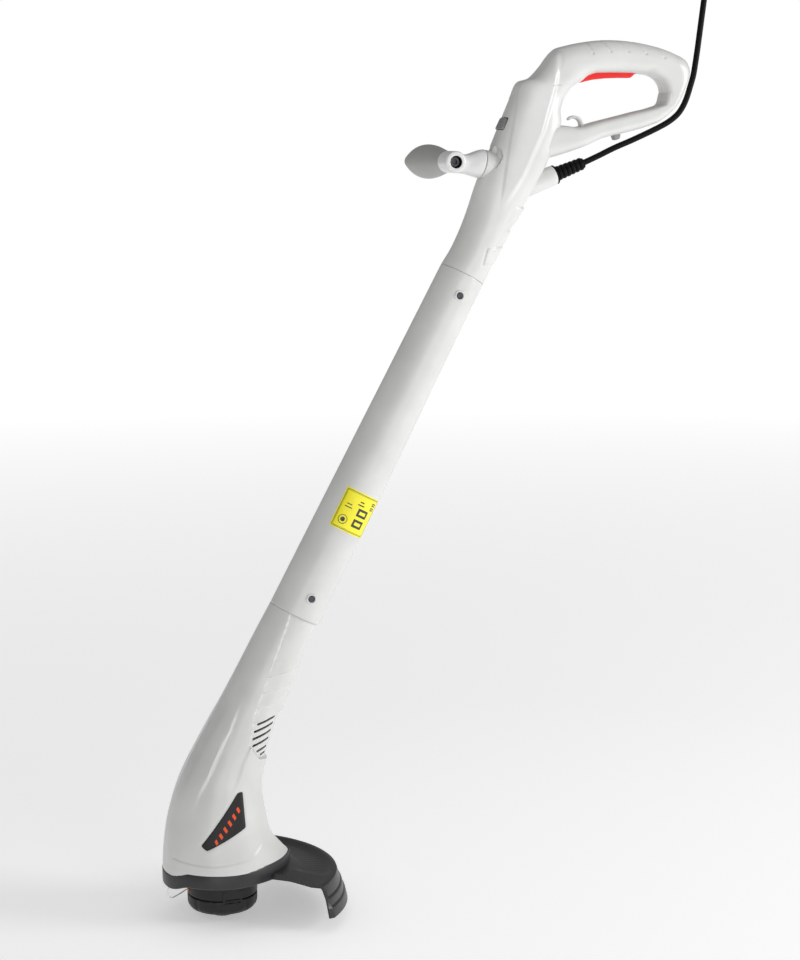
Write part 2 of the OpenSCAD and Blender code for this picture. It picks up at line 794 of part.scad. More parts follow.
module commutator() {
    color("peru") at_head() translate([0, 0, commutator_z - 1]) difference() {
        cylinder(r = 11, h = 13.5);
        translate([0, 0, -1]) cylinder(d = motor_shaft_d + 0.02, h = 16);
        for (i = [0:23]) rotate([0, 0, 15 * i]) translate([10.2, -0.25, -1]) cube([2, 0.5, 16]);
    }
}

module cooling_fan() {
    blades = 9;
    color("whitesmoke") at_head() translate([0, 0, fan_z]) {
        difference() {
            union() {
                cylinder(r = 8.5, h = 9);
                cylinder(d = fan_d - 6, h = 1.6);
            }
            translate([0, 0, -1]) cylinder(d = motor_shaft_d + 0.02, h = 12);
        }
        for (i = [0:blades - 1]) rotate([0, 0, 360 / blades * i])
            translate([8, -0.7, 0]) cube([fan_d / 2 - 8.2, 1.4, 9]);
    }
}

// ---- Guard ----

// Half profile of the guard's fan: a dished top with a raised rim, then a stepped skirt.
guard_profile = [[59, -1], [84, -3], [94, -7], [112, -10], [119, -7], [guard_r - 3, -6.5],
    [guard_r, -9], [guard_r + 3, -20], [guard_r + 5.5, -21.5], [guard_r + 7, -30],
    [guard_r + 9, -31.5], [skirt_r, -skirt_depth], [skirt_r - 2.5, -skirt_depth],
    [guard_r + 5, -33], [guard_r - 2.4, -10.5], [117, -10.5], [112, -13], [94, -10], [84, -6],
    [59, -4]];

module guard() {
    near_angle = -44;
    far_angle = 52;
    color("#2b2b2b") at_head() difference() {
        union() {
            translate([0, 0, -3.4]) cylinder(r = base_r, h = 3);
            translate([0, 0, -10]) cylinder(r = base_r, h = 7);
            rotate([0, 0, near_angle]) rotate_extrude(angle = far_angle - near_angle, $fn = 128)
                polygon(guard_profile);
        }
        translate([0, 0, -20]) cylinder(r = base_r - 3, h = 16.6);
        translate([0, 0, -20]) cylinder(r = 13, h = 30);
        for (a = [60, 180, 300]) rotate([0, 0, a]) translate([50, 0, -10])
            cylinder(r = 2.1, h = 20);
    }
}

module guard_screws() {
    color("silver") at_head() for (a = [60, 180, 300]) rotate([0, 0, a]) translate([50, 0, 0]) {
        translate([0, 0, -5.5]) cylinder(r = 3.6, h = 2);
        translate([0, 0, -4]) cylinder(r = 1.7, h = 10);
    }
}

// A bent steel strip inside the skirt that trims the line to length.
module line_cutter() {
    color("silver") at_head() rotate([0, 0, -24]) difference() {
        translate([guard_r - 2.2, -7, -38]) cube([1.2, 14, 20]);
        for (y = [-3.6, 3.6]) translate([guard_r - 4, y, -22]) rotate([0, 90, 0])
            cylinder(r = 1.7, h = 5);
    }
}

module cutter_screws() {
    color("dimgray") at_head() rotate([0, 0, -24]) for (y = [-3.6, 3.6])
        translate([guard_r - 4.2, y, -22]) rotate([0, 90, 0]) {
            cylinder(r = 2.8, h = 1.9);
            cylinder(r = 1.5, h = 8);
        }
}

// ---- Line head ----

latch_half_angle = 15;

module head_hub() {
    r = head_d / 2;
    color("#1f1f1f") at_head() difference() {
        union() {
            translate([0, 0, head_top_z - 3]) cylinder(r = r, h = 3);
            translate([0, 0, head_split_z]) ring(r, r - 2.4, head_top_z - head_split_z - 1);
            translate([0, 0, head_split_z - 3]) cylinder(r = 6.5, h = 14);
        }
        translate([0, 0, head_split_z - 10]) cylinder(d = motor_shaft_d + 0.02, h = 60);
        for (a = [90, 270]) rotate([0, 0, a - latch_half_angle - 1])
            translate([0, 0, head_split_z - 1])
                rotate_extrude(angle = 2 * latch_half_angle + 2) translate([r - 5, 0]) square([8, 9]);
        translate([-r - 3, 0, -26]) rotate([0, 90, 0]) cylinder(r = 2.6, h = 8);
    }
}

module head_cap() {
    r = head_d / 2;
    color("#1f1f1f") at_head() {
        difference() {
            translate([0, 0, head_bottom_z])
                cylinder(r = r - 0.2, h = head_split_z - head_bottom_z - gap);
            translate([0, 0, head_bottom_z + 2]) cylinder(r = r - 2.6, h = 20);
            translate([0, 0, head_bottom_z - 1]) cylinder(r = knob_d / 2 + 0.4, h = 10);
        }
        for (a = [90, 270]) rotate([0, 0, a - latch_half_angle])
            translate([0, 0, head_split_z - 3])
                rotate_extrude(angle = 2 * latch_half_angle) translate([r - 2.2, 0])
                    square([2.6, 10.4]);
    }
}

module line_eyelet() {
    color("peru") at_head() translate([-head_d / 2 - 0.8, 0, -26]) rotate([0, 90, 0])
        rotate_extrude() polygon([[0.9, 0], [3.4, 0], [3.4, 0.8], [2.55, 0.8], [2.55, 3.6], [0.9, 3.6]]);
}

module cutting_line() {
    color("white") at_head() tube([[-36, 0, -26], [-39.8, 0, -26], [-46, -4, -25.8],
        [-54, -12, -25], [-59.5, -19.5, -23], [-62.8, -25, -19], [-63.6, -27, -14],
        [-62, -28, -9]], line_d / 2, 8, [0, 0, 1]);
}

module wound_line() {
    color("white") at_head() translate([0, 0, -38]) rotate_extrude()
        polygon([[13.5, 0.7], [29, 0.7], [30, 2], [29.2, 3.4], [30, 4.8], [29, 6.2], [30, 7.4],
            [29, 8.2], [13.5, 8.2]]);
}

module line_spool() {
    color("dimgray") at_head() translate([0, 0, -39.6]) difference() {
        union() {
            cylinder(r = 33, h = 2);
            cylinder(r = 13.4, h = 11.6);
            translate([0, 0, 10]) cylinder(r = 33, h = 1.6);
        }
        translate([0, 0, -1]) cylinder(r = 10 + fit, h = 20);
    }
}

module spool_spring() {
    color("silver") at_head() translate([0, 0, -27.2]) coil_spring(11.5, 1, 4.6, 2.5);
}

module bump_knob() {
    color("#1f1f1f") at_head() difference() {
        union() {
            translate([0, 0, knob_bottom_z]) cylinder(d1 = knob_d - 4, d2 = knob_d, h = 3);
            translate([0, 0, knob_bottom_z + 3]) cylinder(d = knob_d, h = -39.9 - knob_bottom_z - 3);
            translate([0, 0, -40.5]) cylinder(r = 10, h = 12);
        }
        translate([0, 0, -41.5]) cylinder(r = 7, h = 20);
    }
}

handle_shell_left();
handle_shell_right();
handle_screws();
trigger();
trigger_pin();
trigger_spring();
trigger_switch();
switch_plunger();
capacitor();
cord_clamp();
clamp_screws();
strain_relief();
inner_cord();
power_cord();
plug_body();
plug_pins();
motor_leads();
swivel_socket();
aux_arm();
swivel_screw();
grip_bolt();
aux_grip();
lock_button();
lock_button_spring();
shaft_tube();
shaft_screws();
noise_label();
motor_housing_left();
motor_housing_right();
housing_screws();
badge_plate();
stator_core();
field_coils();
brush_holders();
carbon_brushes();
upper_bracket();
upper_bearing();
lower_bracket();
lower_bearing();
armature_core();
armature_windings();
commutator();
motor_shaft();
cooling_fan();
guard();
guard_screws();
line_cutter();
cutter_screws();
head_hub();
head_cap();
line_eyelet();
cutting_line();
wound_line();
line_spool();
spool_spring();
bump_knob();
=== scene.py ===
"""Corded string trimmer: smooth moulded shells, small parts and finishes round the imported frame.

Lengths in this file are millimetres in the frame's own axes, and become metres in make_piece.
"""

import json
import logging
from dataclasses import dataclass, field
from enum import Enum
from math import cos, pi, radians, sin

import bmesh
import bpy
import numpy as np
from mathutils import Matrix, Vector


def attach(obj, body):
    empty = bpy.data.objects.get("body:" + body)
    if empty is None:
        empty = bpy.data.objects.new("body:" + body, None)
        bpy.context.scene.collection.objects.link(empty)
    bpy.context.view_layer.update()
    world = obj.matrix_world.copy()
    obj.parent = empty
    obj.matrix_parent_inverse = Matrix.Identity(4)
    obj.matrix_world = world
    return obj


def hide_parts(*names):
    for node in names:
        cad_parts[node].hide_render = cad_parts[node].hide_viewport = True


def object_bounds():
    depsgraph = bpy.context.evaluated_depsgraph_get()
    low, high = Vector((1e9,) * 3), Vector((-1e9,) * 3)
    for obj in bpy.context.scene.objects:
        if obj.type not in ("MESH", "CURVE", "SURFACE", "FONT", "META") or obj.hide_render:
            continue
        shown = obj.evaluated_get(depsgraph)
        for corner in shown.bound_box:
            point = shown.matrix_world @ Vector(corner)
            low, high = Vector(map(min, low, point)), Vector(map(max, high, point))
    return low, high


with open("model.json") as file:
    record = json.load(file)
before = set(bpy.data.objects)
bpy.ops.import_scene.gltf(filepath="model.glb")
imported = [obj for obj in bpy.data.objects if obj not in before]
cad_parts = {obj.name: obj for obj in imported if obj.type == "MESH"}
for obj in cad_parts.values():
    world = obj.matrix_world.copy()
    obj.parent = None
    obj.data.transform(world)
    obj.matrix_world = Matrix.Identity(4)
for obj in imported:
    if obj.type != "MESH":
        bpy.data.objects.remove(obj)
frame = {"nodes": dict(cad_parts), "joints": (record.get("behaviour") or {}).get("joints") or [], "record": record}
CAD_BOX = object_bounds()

Array = np.ndarray
Solid = tuple[Array, list]
Colour = tuple[float, float, float]
Point = tuple[float, float, float]
MM = 0.001
CREASE_ANGLE = 38.0
WELD = 2e-6
log = logging.getLogger("trimmer")


class Half(Enum):
    """The two clamshell halves, by the sign of their Y."""

    LEFT = -1
    RIGHT = 1


# ---- Shader maths ----


class Wire:
    """One output of a shader node, whose arithmetic adds Math nodes to its material."""

    def __init__(self, board: "Board", socket: bpy.types.NodeSocket) -> None:
        """Keeps the socket with the board that it belongs to."""
        self.board = board
        self.socket = socket

    def maths(self, operation: str, *values: object) -> "Wire":
        """Adds one Math node.

        Args:
            operation: the node's operation.
            values: its inputs, in order.

        Returns:
            The wire of its result.
        """
        return self.board.add("ShaderNodeMath", {"operation": operation}, dict(enumerate(values)))

    def __add__(self, other: object) -> "Wire":
        """This plus other."""
        return self.maths("ADD", self, other)

    __radd__ = __add__

    def __mul__(self, other: object) -> "Wire":
        """This times other."""
        return self.maths("MULTIPLY", self, other)

    __rmul__ = __mul__

    def __sub__(self, other: object) -> "Wire":
        """This less other."""
        return self.maths("SUBTRACT", self, other)

    def __rsub__(self, other: object) -> "Wire":
        """Other less this."""
        return self.maths("SUBTRACT", other, self)

    def __abs__(self) -> "Wire":
        """This without its sign."""
        return self.maths("ABSOLUTE", self)

    def __lt__(self, other: object) -> "Wire":
        """1 where this is less than other."""
        return self.maths("LESS_THAN", self, other)

    def __gt__(self, other: object) -> "Wire":
        """1 where this is more than other."""
        return self.maths("GREATER_THAN", self, other)

    def both(self, other: object) -> "Wire":
        """The lesser of the two, which joins two masks."""
        return self.maths("MINIMUM", self, other)

    def either(self, other: object) -> "Wire":
        """The greater of the two, which adds two masks."""
        return self.maths("MAXIMUM", self, other)


class Board:
    """The node tree of one material, with its Principled shader."""

    def __init__(self, name: str) -> None:
        """Makes an empty material of that name.

        Args:
            name: of the material.
        """
        self.material = bpy.data.materials.new(name)
        self.material.use_nodes = True
        self.tree = self.material.node_tree
        self.tree.nodes.clear()
        self.shader = self.tree.nodes.new("ShaderNodeBsdfPrincipled")
        output = self.tree.nodes.new("ShaderNodeOutputMaterial")
        self.tree.links.new(self.shader.outputs[0], output.inputs[0])

    def plug(self, node: bpy.types.Node, key: object, value: object) -> None:
        """Sets an input to a number or colour, or links a wire to it."""
        if isinstance(value, Wire):
            self.tree.links.new(value.socket, node.inputs[key])
        else:
            node.inputs[key].default_value = value

    def add(self, kind: str, settings: dict, inputs: dict, output: object = 0) -> Wire:
        """Makes any node.

        Args:
            kind: the node's type.
            settings: its properties, set first; "stops" are a ramp's (place, grey) pairs.
            inputs: values or wires by socket.
            output: the output wanted.

        Returns:
            The wire of that output.
        """
        node = self.tree.nodes.new(kind)
        for key, value in settings.items():
            if key == "stops":
                ramp = node.color_ramp
                for element, (place, grey) in zip(ramp.elements, value):
                    element.position = place
                    element.color = (grey, grey, grey, 1.0)
            else:
                setattr(node, key, value)
        for key, value in inputs.items():
            self.plug(node, key, value)
        return Wire(self, node.outputs[output])

    def place(self) -> Wire:
        """The point's own place on its object, in metres."""
        return self.add("ShaderNodeTexCoord", {}, {}, "Object")

    def noise(self, size_mm: float, detail: float = 2.0, stretch: Point = (1, 1, 1)) -> Wire:
        """Noise from 0 to 1.

        Args:
            size_mm: width of its patches.
            detail: octaves.
            stretch: how much finer it is along each axis.

        Returns:
            Its factor.
        """
        spread = self.add(
            "ShaderNodeVectorMath",
            {"operation": "MULTIPLY"},
            {0: self.place(), 1: tuple(k / (size_mm * MM) for k in stretch)},
        )
        return self.add(
            "ShaderNodeTexNoise", {}, {"Vector": spread, "Scale": 1.0, "Detail": detail}
        )

    def ramp(self, value: Wire, low: float, high: float) -> Wire:
        """0 below low, 1 above high, straight between."""
        inputs = {"Value": value, "From Min": low, "From Max": high}
        return self.add("ShaderNodeMapRange", {}, inputs)

    def mix(self, share: object, first: object, second: object) -> Wire:
        """A colour between two colours.

        Args:
            share: 0 for the first, 1 for the second.
            first: a colour or wire.
            second: a colour or wire.

        Returns:
            The mixed colour.
        """
        node = self.tree.nodes.new("ShaderNodeMix")
        node.data_type = "RGBA"
        for key, value in ((0, share), (6, first), (7, second)):
            self.plug(node, key, (*value, 1.0) if isinstance(value, tuple) else value)
        return Wire(self, node.outputs[2])

    def finish(self, bump: Wire | None = None, depth_mm: float = 0.0, **sockets: object) -> None:
        """Feeds the shader.

        Args:
            bump: a height from 0 to 1.
            depth_mm: what a height of 1 stands for.
            sockets: values or wires, with underscores for spaces.
        """
        for key, value in sockets.items():
            if isinstance(value, tuple) and len(value) == 3:
                value = (*value, 1.0)
            self.plug(self.shader, key.replace("_", " "), value)
        if bump is not None:
            normal = self.add(
                "ShaderNodeBump", {}, {"Strength": 1.0, "Distance": depth_mm * MM, "Height": bump}
            )
            self.plug(self.shader, "Normal", normal)


# ---- Finishes ----


@dataclass(frozen=True)
class Finish:
    """A surface finish: the slot it takes in the record, and its colour and roughness."""

    slot: str
    colour: Colour
    roughness: float = 0.4

    def paint(self, board: Board) -> None:
        """Feeds the board's shader with the plain colour."""
        board.finish(Base_Color=self.colour, Roughness=self.roughness)

    def material(self) -> bpy.types.Material:
        """The finish's material, made once.

        Returns:
            The material.
        """
        tone = "_".join(f"{round(1000 * c)}" for c in self.colour)
        name = f"{self.slot}_{type(self).__name__}_{tone}"
        found = bpy.data.materials.get(name)
        if found:
            return found
        board = Board(name)
        self.paint(board)
        return board.material


@dataclass(frozen=True)
class Moulding(Finish):
    """Moulded plastic: a fine grain, slow flow marks in its colour and a few handling scuffs."""

    grain_mm: float = 0.35
    grain_depth: float = 0.012
    flow: float = 0.03
    scuffs: float = 0.12
    coat: float = 0.0
    shine: float = 0.5

    def paint(self, board: Board) -> None:
        """Mixes two near shades by slow noise, and roughens by streaks and grain.

        Args:
            board: to draw on.
        """
        slow = board.noise(42, 3)
        scuff = board.ramp(board.noise(3.2, 5, (1, 1, 0.25)), 0.58, 0.74)
        shade = tuple(c * (1 - self.flow * 2) for c in self.colour)
        light = tuple(min(1.0, c * (1 + self.flow)) for c in self.colour)
        tone = board.mix(board.ramp(slow, 0.3, 0.7), shade, light)
        worn = tuple(0.85 * c + 0.02 for c in self.colour)
        board.finish(
            Base_Color=board.mix(scuff * 0.12, tone, worn),
            Roughness=slow * 0.08 + scuff * self.scuffs + (self.roughness - 0.04),
            bump=board.noise(self.grain_mm, 2) * 0.8 + board.noise(self.grain_mm * 6, 2) * 0.4,
            depth_mm=self.grain_depth,
            Coat_Weight=self.coat,
            Coat_Roughness=0.12,
            Specular_IOR_Level=self.shine,
        )


@dataclass(frozen=True)
class Metal(Finish):
    """Worked metal with turning or drawing marks along one axis."""

    stretch: Point = (1.0, 1.0, 14.0)
    tarnish: float = 0.25

    def paint(self, board: Board) -> None:
        """Fine streaks in roughness and height, and slow patches of tarnish.

        Args:
            board: to draw on.
        """
        streak = board.noise(1.4, 4, self.stretch)
        patch = board.ramp(board.noise(6, 3), 0.45, 0.75)
        dull = tuple(c * 0.55 for c in self.colour)
        board.finish(
            Base_Color=board.mix(patch * self.tarnish, self.colour, dull),
            Roughness=streak * 0.22 + patch * 0.15 + (self.roughness - 0.1),
            Metallic=1.0,
            bump=streak,
            depth_mm=0.01,
        )


@dataclass(frozen=True)
class Windings(Finish):
    """Enamelled wire laid in close turns."""

    def paint(self, board: Board) -> None:
        """Bands of wire across the height, broken by noise.

        Args:
            board: to draw on.
        """
        turns = board.add(
            "ShaderNodeTexWave",
            {"bands_direction": "DIAGONAL"},
            {"Vector": board.place(), "Scale": 420.0, "Distortion": 1.5, "Detail": 1.0},
            "Fac",
        )
        dark = tuple(c * 0.45 for c in self.colour)
        board.finish(
            Base_Color=board.mix(turns, dark, self.colour),
            Roughness=self.roughness,
            Metallic=0.7,
            bump=turns,
            depth_mm=0.12,
        )


@dataclass(frozen=True)
class Laminations(Finish):
    """A stack of thin steel sheets, seen on edge."""

    def paint(self, board: Board) -> None:
        """Bands across the height of the stack.

        Args:
            board: to draw on.
        """
        sheets = board.add(
            "ShaderNodeTexWave",
            {"bands_direction": "Z", "wave_profile": "SAW"},
            {"Vector": board.place(), "Scale": 320.0},
            "Fac",
        )
        dark = tuple(c * 0.5 for c in self.colour)
        board.finish(
            Base_Color=board.mix(sheets, dark, self.colour),
            Roughness=self.roughness,
            Metallic=0.8,
            bump=sheets,
            depth_mm=0.08,
        )


@dataclass(frozen=True)
class PrintedLabel(Finish):
    """A yellow film with a double dark border and plain marks, laid out on its own UV map."""

    ink: Colour = (0.02, 0.03, 0.02)

    def paint(self, board: Board) -> None:
        """Masks in millimetres from the label's lower left corner, each a band or a disc.

        Args:
            board: to draw on.
        """
        spot = board.add("ShaderNodeUVMap", {"uv_map": "sheet"}, {})
        split = board.add("ShaderNodeSeparateXYZ", {}, {0: spot}, "X")
        u = split * LABEL_WIDTH
        v = Wire(board, split.socket.node.outputs["Y"]) * LABEL_LENGTH
        edge_u = LABEL_WIDTH / 2 - abs(u - LABEL_WIDTH / 2)
        edge_v = LABEL_LENGTH / 2 - abs(v - LABEL_LENGTH / 2)
        edge = edge_u.both(edge_v)
        ink = (abs(edge - 1.6) < 0.32).either(abs(edge - 2.7) < 0.16)

        def bar(x: float, y: float, wide: float, high: float) -> Wire:
            """A filled bar round a centre."""
            return (abs(u - x) < wide / 2).both(abs(v - y) < high / 2)

        def disc(x: float, y: float, r: float, r_in: float = 0.0) -> Wire:
            """A disc or ring round a centre."""
            square = (u - x) * (u - x) + (v - y) * (v - y)
            return (square < r * r).both(square > r_in * r_in)

        ink = ink.either(disc(10.5, 11.5, 5.2, 4.4)).either(disc(10.5, 11.5, 2.6))
        ink = ink.either(bar(10.5, 26.0, 8.5, 1.1)).either(bar(10.5, 29.4, 6.0, 1.1))
        ink = ink.either(bar(23.0, 33.0, 8.0, 1.4)).either(bar(23.0, 36.4, 5.0, 1.4))
        for x, y in ((29.0, 12.5), (29.0, 25.0)):
            ink = ink.either(bar(x, y, 14.0, 9.0).both(1 - bar(x, y, 8.6, 3.6)))
        for x, y, wide in ((39.5, 33.5, 3.6), (39.5, 38.6, 3.6)):
            ink = ink.either(bar(x, y, wide * 1.6, wide).both(1 - bar(x, y, wide * 0.8, 1.1)))
        fade = board.noise(20, 2)
        film = board.mix(fade, tuple(0.93 * c for c in self.colour), self.colour)
        board.finish(
            Base_Color=board.mix(ink, film, self.ink),
            Roughness=fade * 0.1 + self.roughness,
            Coat_Weight=0.35,
            bump=board.noise(0.5, 2),
            depth_mm=0.004,
        )


class Shade:
    """The finishes of this trimmer, by what wears them."""

    housing = Moulding("housing_plastic", (0.70, 0.705, 0.69), 0.33, coat=0.25)
    arm = Moulding("arm_plastic", (0.76, 0.76, 0.755), 0.3, coat=0.2)
    grip = Moulding("grip_plastic", (0.40, 0.405, 0.385), 0.5, grain_depth=0.03)
    # Dark grey button plastic: partly its own colour, partly painted shade of the recesses the buttons sit in.
    pocket = Moulding("button_plastic", (0.25, 0.255, 0.25), 0.45)
    trigger = Moulding("trigger_plastic", (0.78, 0.004, 0.003), 0.3, coat=0.3)
    orange = Moulding("trigger_plastic", (0.86, 0.075, 0.004), 0.45, flow=0.01)
    black = Moulding("black_plastic", (0.014, 0.014, 0.0155), 0.4, 0.5, 0.05, 0.1, shine=0.34)
    inner = Moulding("inner_plastic", (0.05, 0.05, 0.055), 0.55)
    natural = Moulding("fan_plastic", (0.7, 0.7, 0.66), 0.45)
    guard = Moulding("black_plastic", (0.018, 0.018, 0.02), 0.36, 0.5, 0.04, 0.1, shine=0.55)
    rubber = Moulding("cord_rubber", (0.0025, 0.0025, 0.003), 0.5, 0.6, 0.03, 0.05, shine=0.14)
    lead = Moulding("lead_insulation", (0.2, 0.09, 0.04), 0.45)
    carbon = Moulding("carbon", (0.03, 0.03, 0.033), 0.6, 0.3, 0.04)
    potting = Moulding("capacitor_case", (0.8, 0.52, 0.06), 0.35)
    nylon = Moulding("nylon_line", (0.85, 0.87, 0.88), 0.25, flow=0.01)
    steel = Metal("steel", (0.62, 0.62, 0.63), 0.3)
    dark_steel = Metal("dark_steel", (0.09, 0.09, 0.1), 0.4)
    pins = Metal("plated_brass", (0.76, 0.73, 0.66), 0.22)
    copper = Metal("copper", (0.72, 0.33, 0.16), 0.35)
    wire = Windings("copper", (0.6, 0.2, 0.07), 0.35)
    stack = Laminations("laminated_steel", (0.3, 0.31, 0.33), 0.4)
    label = PrintedLabel("label_film", (1.0, 0.9, 0.012), 0.34)


# ---- Surfaces ----


def unit(v: Array) -> Array:
    """The vectors of v, each divided by its length."""
    return v / np.maximum(np.linalg.norm(v, axis=-1, keepdims=True), 1e-9)


def ease(x: Array, low: float, high: float) -> Array:
    """0 at low, 1 at high, and 3t^2 - 2t^3 between."""
    t = np.clip((x - low) / (high - low), 0, 1)
    return t * t * (3 - 2 * t)


def through(rows: Array, knots: Array, count: int) -> Array:
    """A smooth run through rows of numbers.

    Each span is a cubic with the rows' own slopes at its ends, over the knots.

    Args:
        rows: N rows of values.
        knots: N rising places.
        count: rows wanted.

    Returns:
        count rows.
    """
    slope = np.gradient(rows, knots, axis=0)
    at = np.linspace(knots[0], knots[-1], count)
    i = np.clip(np.searchsorted(knots, at, "right") - 1, 0, len(knots) - 2)
    step = (knots[i + 1] - knots[i])[:, None]
    t = (at[:, None] - knots[i][:, None]) / step
    return (
        rows[i] * (1 + 2 * t) * (1 - t) ** 2
        + slope[i] * step * t * (1 - t) ** 2
        + rows[i + 1] * t * t * (3 - 2 * t)
        + slope[i + 1] * step * t * t * (t - 1)
    )


def smooth_path(points: list, count: int) -> Array:
    """A smooth path through points, its knots at the distance gone.

    Args:
        points: to pass through.
        count: of points wanted.

    Returns:
        The path, one row for each point.
    """
    rows = np.array(points, float)
    gone = np.linalg.norm(np.diff(rows, axis=0), axis=1).cumsum()
    return through(rows, np.r_[0, gone], count)


def winding(p: Array) -> float:
    """1 for an outline that runs anticlockwise, -1 for one that runs clockwise."""
    ahead = np.roll(p, -1, 0)
    return float(np.sign(np.sum(p[:, 0] * ahead[:, 1] - p[:, 1] * ahead[:, 0])))


def convex_depth(x: Array, z: Array, corners: tuple) -> Array:
    """How far inside a convex outline each point is: the least distance to its edges.

    Args:
        x: places.
        z: heights.
        corners: of the outline, in order.

    Returns:
        The depth of each point, below 0 outside.
    """
    c = np.array(corners, float)
    d = unit(np.roll(c, -1, 0) - c)
    side = winding(c) * np.stack([-d[:, 1], d[:, 0]], 1)
    gap = [(x - p[0]) * n[0] + (z - p[1]) * n[1] for p, n in zip(c, side)]
    return np.min(gap, axis=0)


def from_line(x: Array, z: Array, path: list) -> tuple[Array, Array]:
    """Distance from a broken line, positive on its left, and the share of it gone by.

    Args:
        x: places.
        z: heights.
        path: the line's corners.

    Returns:
        The signed distance to the nearest span, and that foot's share of the spans.
    """
    p = np.array(path, float)
    best = np.full(np.shape(x), 1e9)
    share = np.zeros(np.shape(x))
    spans = len(p) - 1
    for k in range(spans):
        along = p[k + 1] - p[k]
        size = float(np.dot(along, along))
        t = ((x - p[k, 0]) * along[0] + (z - p[k, 1]) * along[1]) / size
        foot = np.clip(t, 0, 1)
        dx, dz = x - p[k, 0] - foot * along[0], z - p[k, 1] - foot * along[1]
        far = np.hypot(dx, dz) * np.where(along[0] * dz - along[1] * dx < 0, -1, 1)
        near = np.abs(far) < np.abs(best)
        best, share = np.where(near, far, best), np.where(near, (k + foot) / spans, share)
    return best, share


def groove(x: Array, z: Array, path: list, width: float) -> Array:
    """1 on a broken line, falling as a bell curve of that width."""
    return np.exp(-((from_line(x, z, path)[0] / width) ** 2))


def rounded(points: list, radius: float, closed: bool = True, steps: int = 5) -> Array:
    """A broken line with its corners rounded.

    Each corner gives way to a parabola between the points a radius before and after it.

    Args:
        points: the corners, in the plane.
        radius: how far from each corner the curve starts.
        closed: whether the last corner joins the first.
        steps: points in each curve.

    Returns:
        The points of the rounded line.
    """
    p = np.array(points, float)
    back, ahead = np.roll(p, 1, 0) - p, np.roll(p, -1, 0) - p
    reach = np.minimum(np.linalg.norm(back, axis=1), np.linalg.norm(ahead, axis=1)) * 0.45
    cut = np.minimum(radius, reach)[:, None]
    a, b = p + unit(back) * cut, p + unit(ahead) * cut
    t = np.linspace(0, 1, steps)[None, :, None]
    arcs = a[:, None] * (1 - t) ** 2 + p[:, None] * 2 * t * (1 - t) + b[:, None] * t * t
    if closed:
        return arcs.reshape(-1, 2)
    return np.concatenate([p[:1], arcs[1:-1].reshape(-1, 2), p[-1:]])


def loft(rows: Array, turns: Array) -> Array:
    """Superellipse sections.

    A section runs from its outer to its inner point and is widest at a share of that depth. At a
    turn a its radius is (|cos a|^n + |sin a|^n)^(-1/n) of the reach and of the half width, where n
    is the squareness of the side that the turn is on.

    Args:
        rows: outer x and z, inner x and z, widest share, half width, the two squarenesses.
        turns: angles, 0 at the inner point.

    Returns:
        A grid of points, sections by turns.
    """
    outer, inner = rows[:, None, :2], rows[:, None, 2:4]
    depth = np.linalg.norm(inner - outer, axis=-1)
    across = (inner - outer) / depth[..., None]
    widest = rows[:, 4:5] * depth
    c, s = np.cos(turns)[None], np.sin(turns)[None]
    n = np.where(c < 0, rows[:, 6:7], rows[:, 7:8])
    r = (np.abs(c) ** n + np.abs(s) ** n) ** (-1 / n)
    u = widest + np.where(c < 0, widest, depth - widest) * c * r
    flat = outer + across * u[..., None]
    return np.stack([flat[..., 0], rows[:, 5:6] * s * r, flat[..., 1]], -1)


def outward(grid: Array) -> Array:
    """Unit normals of a grid, from its two slopes, turned away from each row's middle.

    Args:
        grid: rows of points.

    Returns:
        The normal at each point.
    """
    along, round_ = np.gradient(grid, axis=(0, 1))
    n = unit(np.cross(along, round_))
    away = np.sum(n * (grid - grid.mean(axis=1, keepdims=True)))
    return n if away > 0 else -n


def wall(grid: Array, thickness: float, normals: Array | None = None) -> Solid:
    """A closed wall under a grid: the grid, its copy moved inward, and the four edges.

    Args:
        grid: rows of points.
        thickness: of the wall.
        normals: of the grid, where they are known.

    Returns:
        The wall.
    """
    n = outward(grid) if normals is None else normals
    rows, cols = grid.shape[:2]
    idx = np.arange(rows * cols).reshape(rows, cols)
    rim = np.concatenate([idx[0], idx[1:, -1], idx[-1, -2::-1], idx[-2:0:-1, 0]])
    skip = rows * cols
    quads = np.stack([idx[:-1, :-1], idx[1:, :-1], idx[1:, 1:], idx[:-1, 1:]], -1).reshape(-1, 4)
    ahead = np.roll(rim, -1)
    edge = np.stack([rim, ahead, ahead + skip, rim + skip], -1)
    points = np.concatenate([grid.reshape(-1, 3), (grid - n * thickness).reshape(-1, 3)])
    return points, np.concatenate([quads, quads[:, ::-1] + skip, edge]).tolist()


def tube(grid: Array, loop: bool = False) -> Solid:
    """A closed skin over rings: quads between rings, and a face on each end unless it is a loop.

    Args:
        grid: the rings, one in each row.
        loop: joins the last ring to the first.

    Returns:
        The skin.
    """
    rows, cols = grid.shape[:2]
    idx = np.arange(rows * cols).reshape(rows, cols)
    ahead = np.roll(idx, -1, 1)
    last = np.roll(idx, -1, 0) if loop else idx[1:]
    first = idx if loop else idx[:-1]
    turned = np.roll(last, -1, 1)
    quads = np.stack([first, last, turned, ahead if loop else ahead[:-1]], -1).reshape(-1, 4)
    faces = quads.tolist()
    if not loop:
        faces += [idx[0].tolist(), idx[-1, ::-1].tolist()]
    return grid.reshape(-1, 3), faces


def revolve(profile: Array, sides: int = 72) -> Array:
    """A profile of radius and height turned about Z: (r cos a, r sin a, h).

    Args:
        profile: rows of radius and height.
        sides: points in each ring.

    Returns:
        The grid of rings.
    """
    a = np.linspace(0, 2 * pi, sides, endpoint=False)[None]
    r, h = profile[:, :1], profile[:, 1:2]
    return np.stack([r * np.cos(a), r * np.sin(a), h + 0 * a], -1)


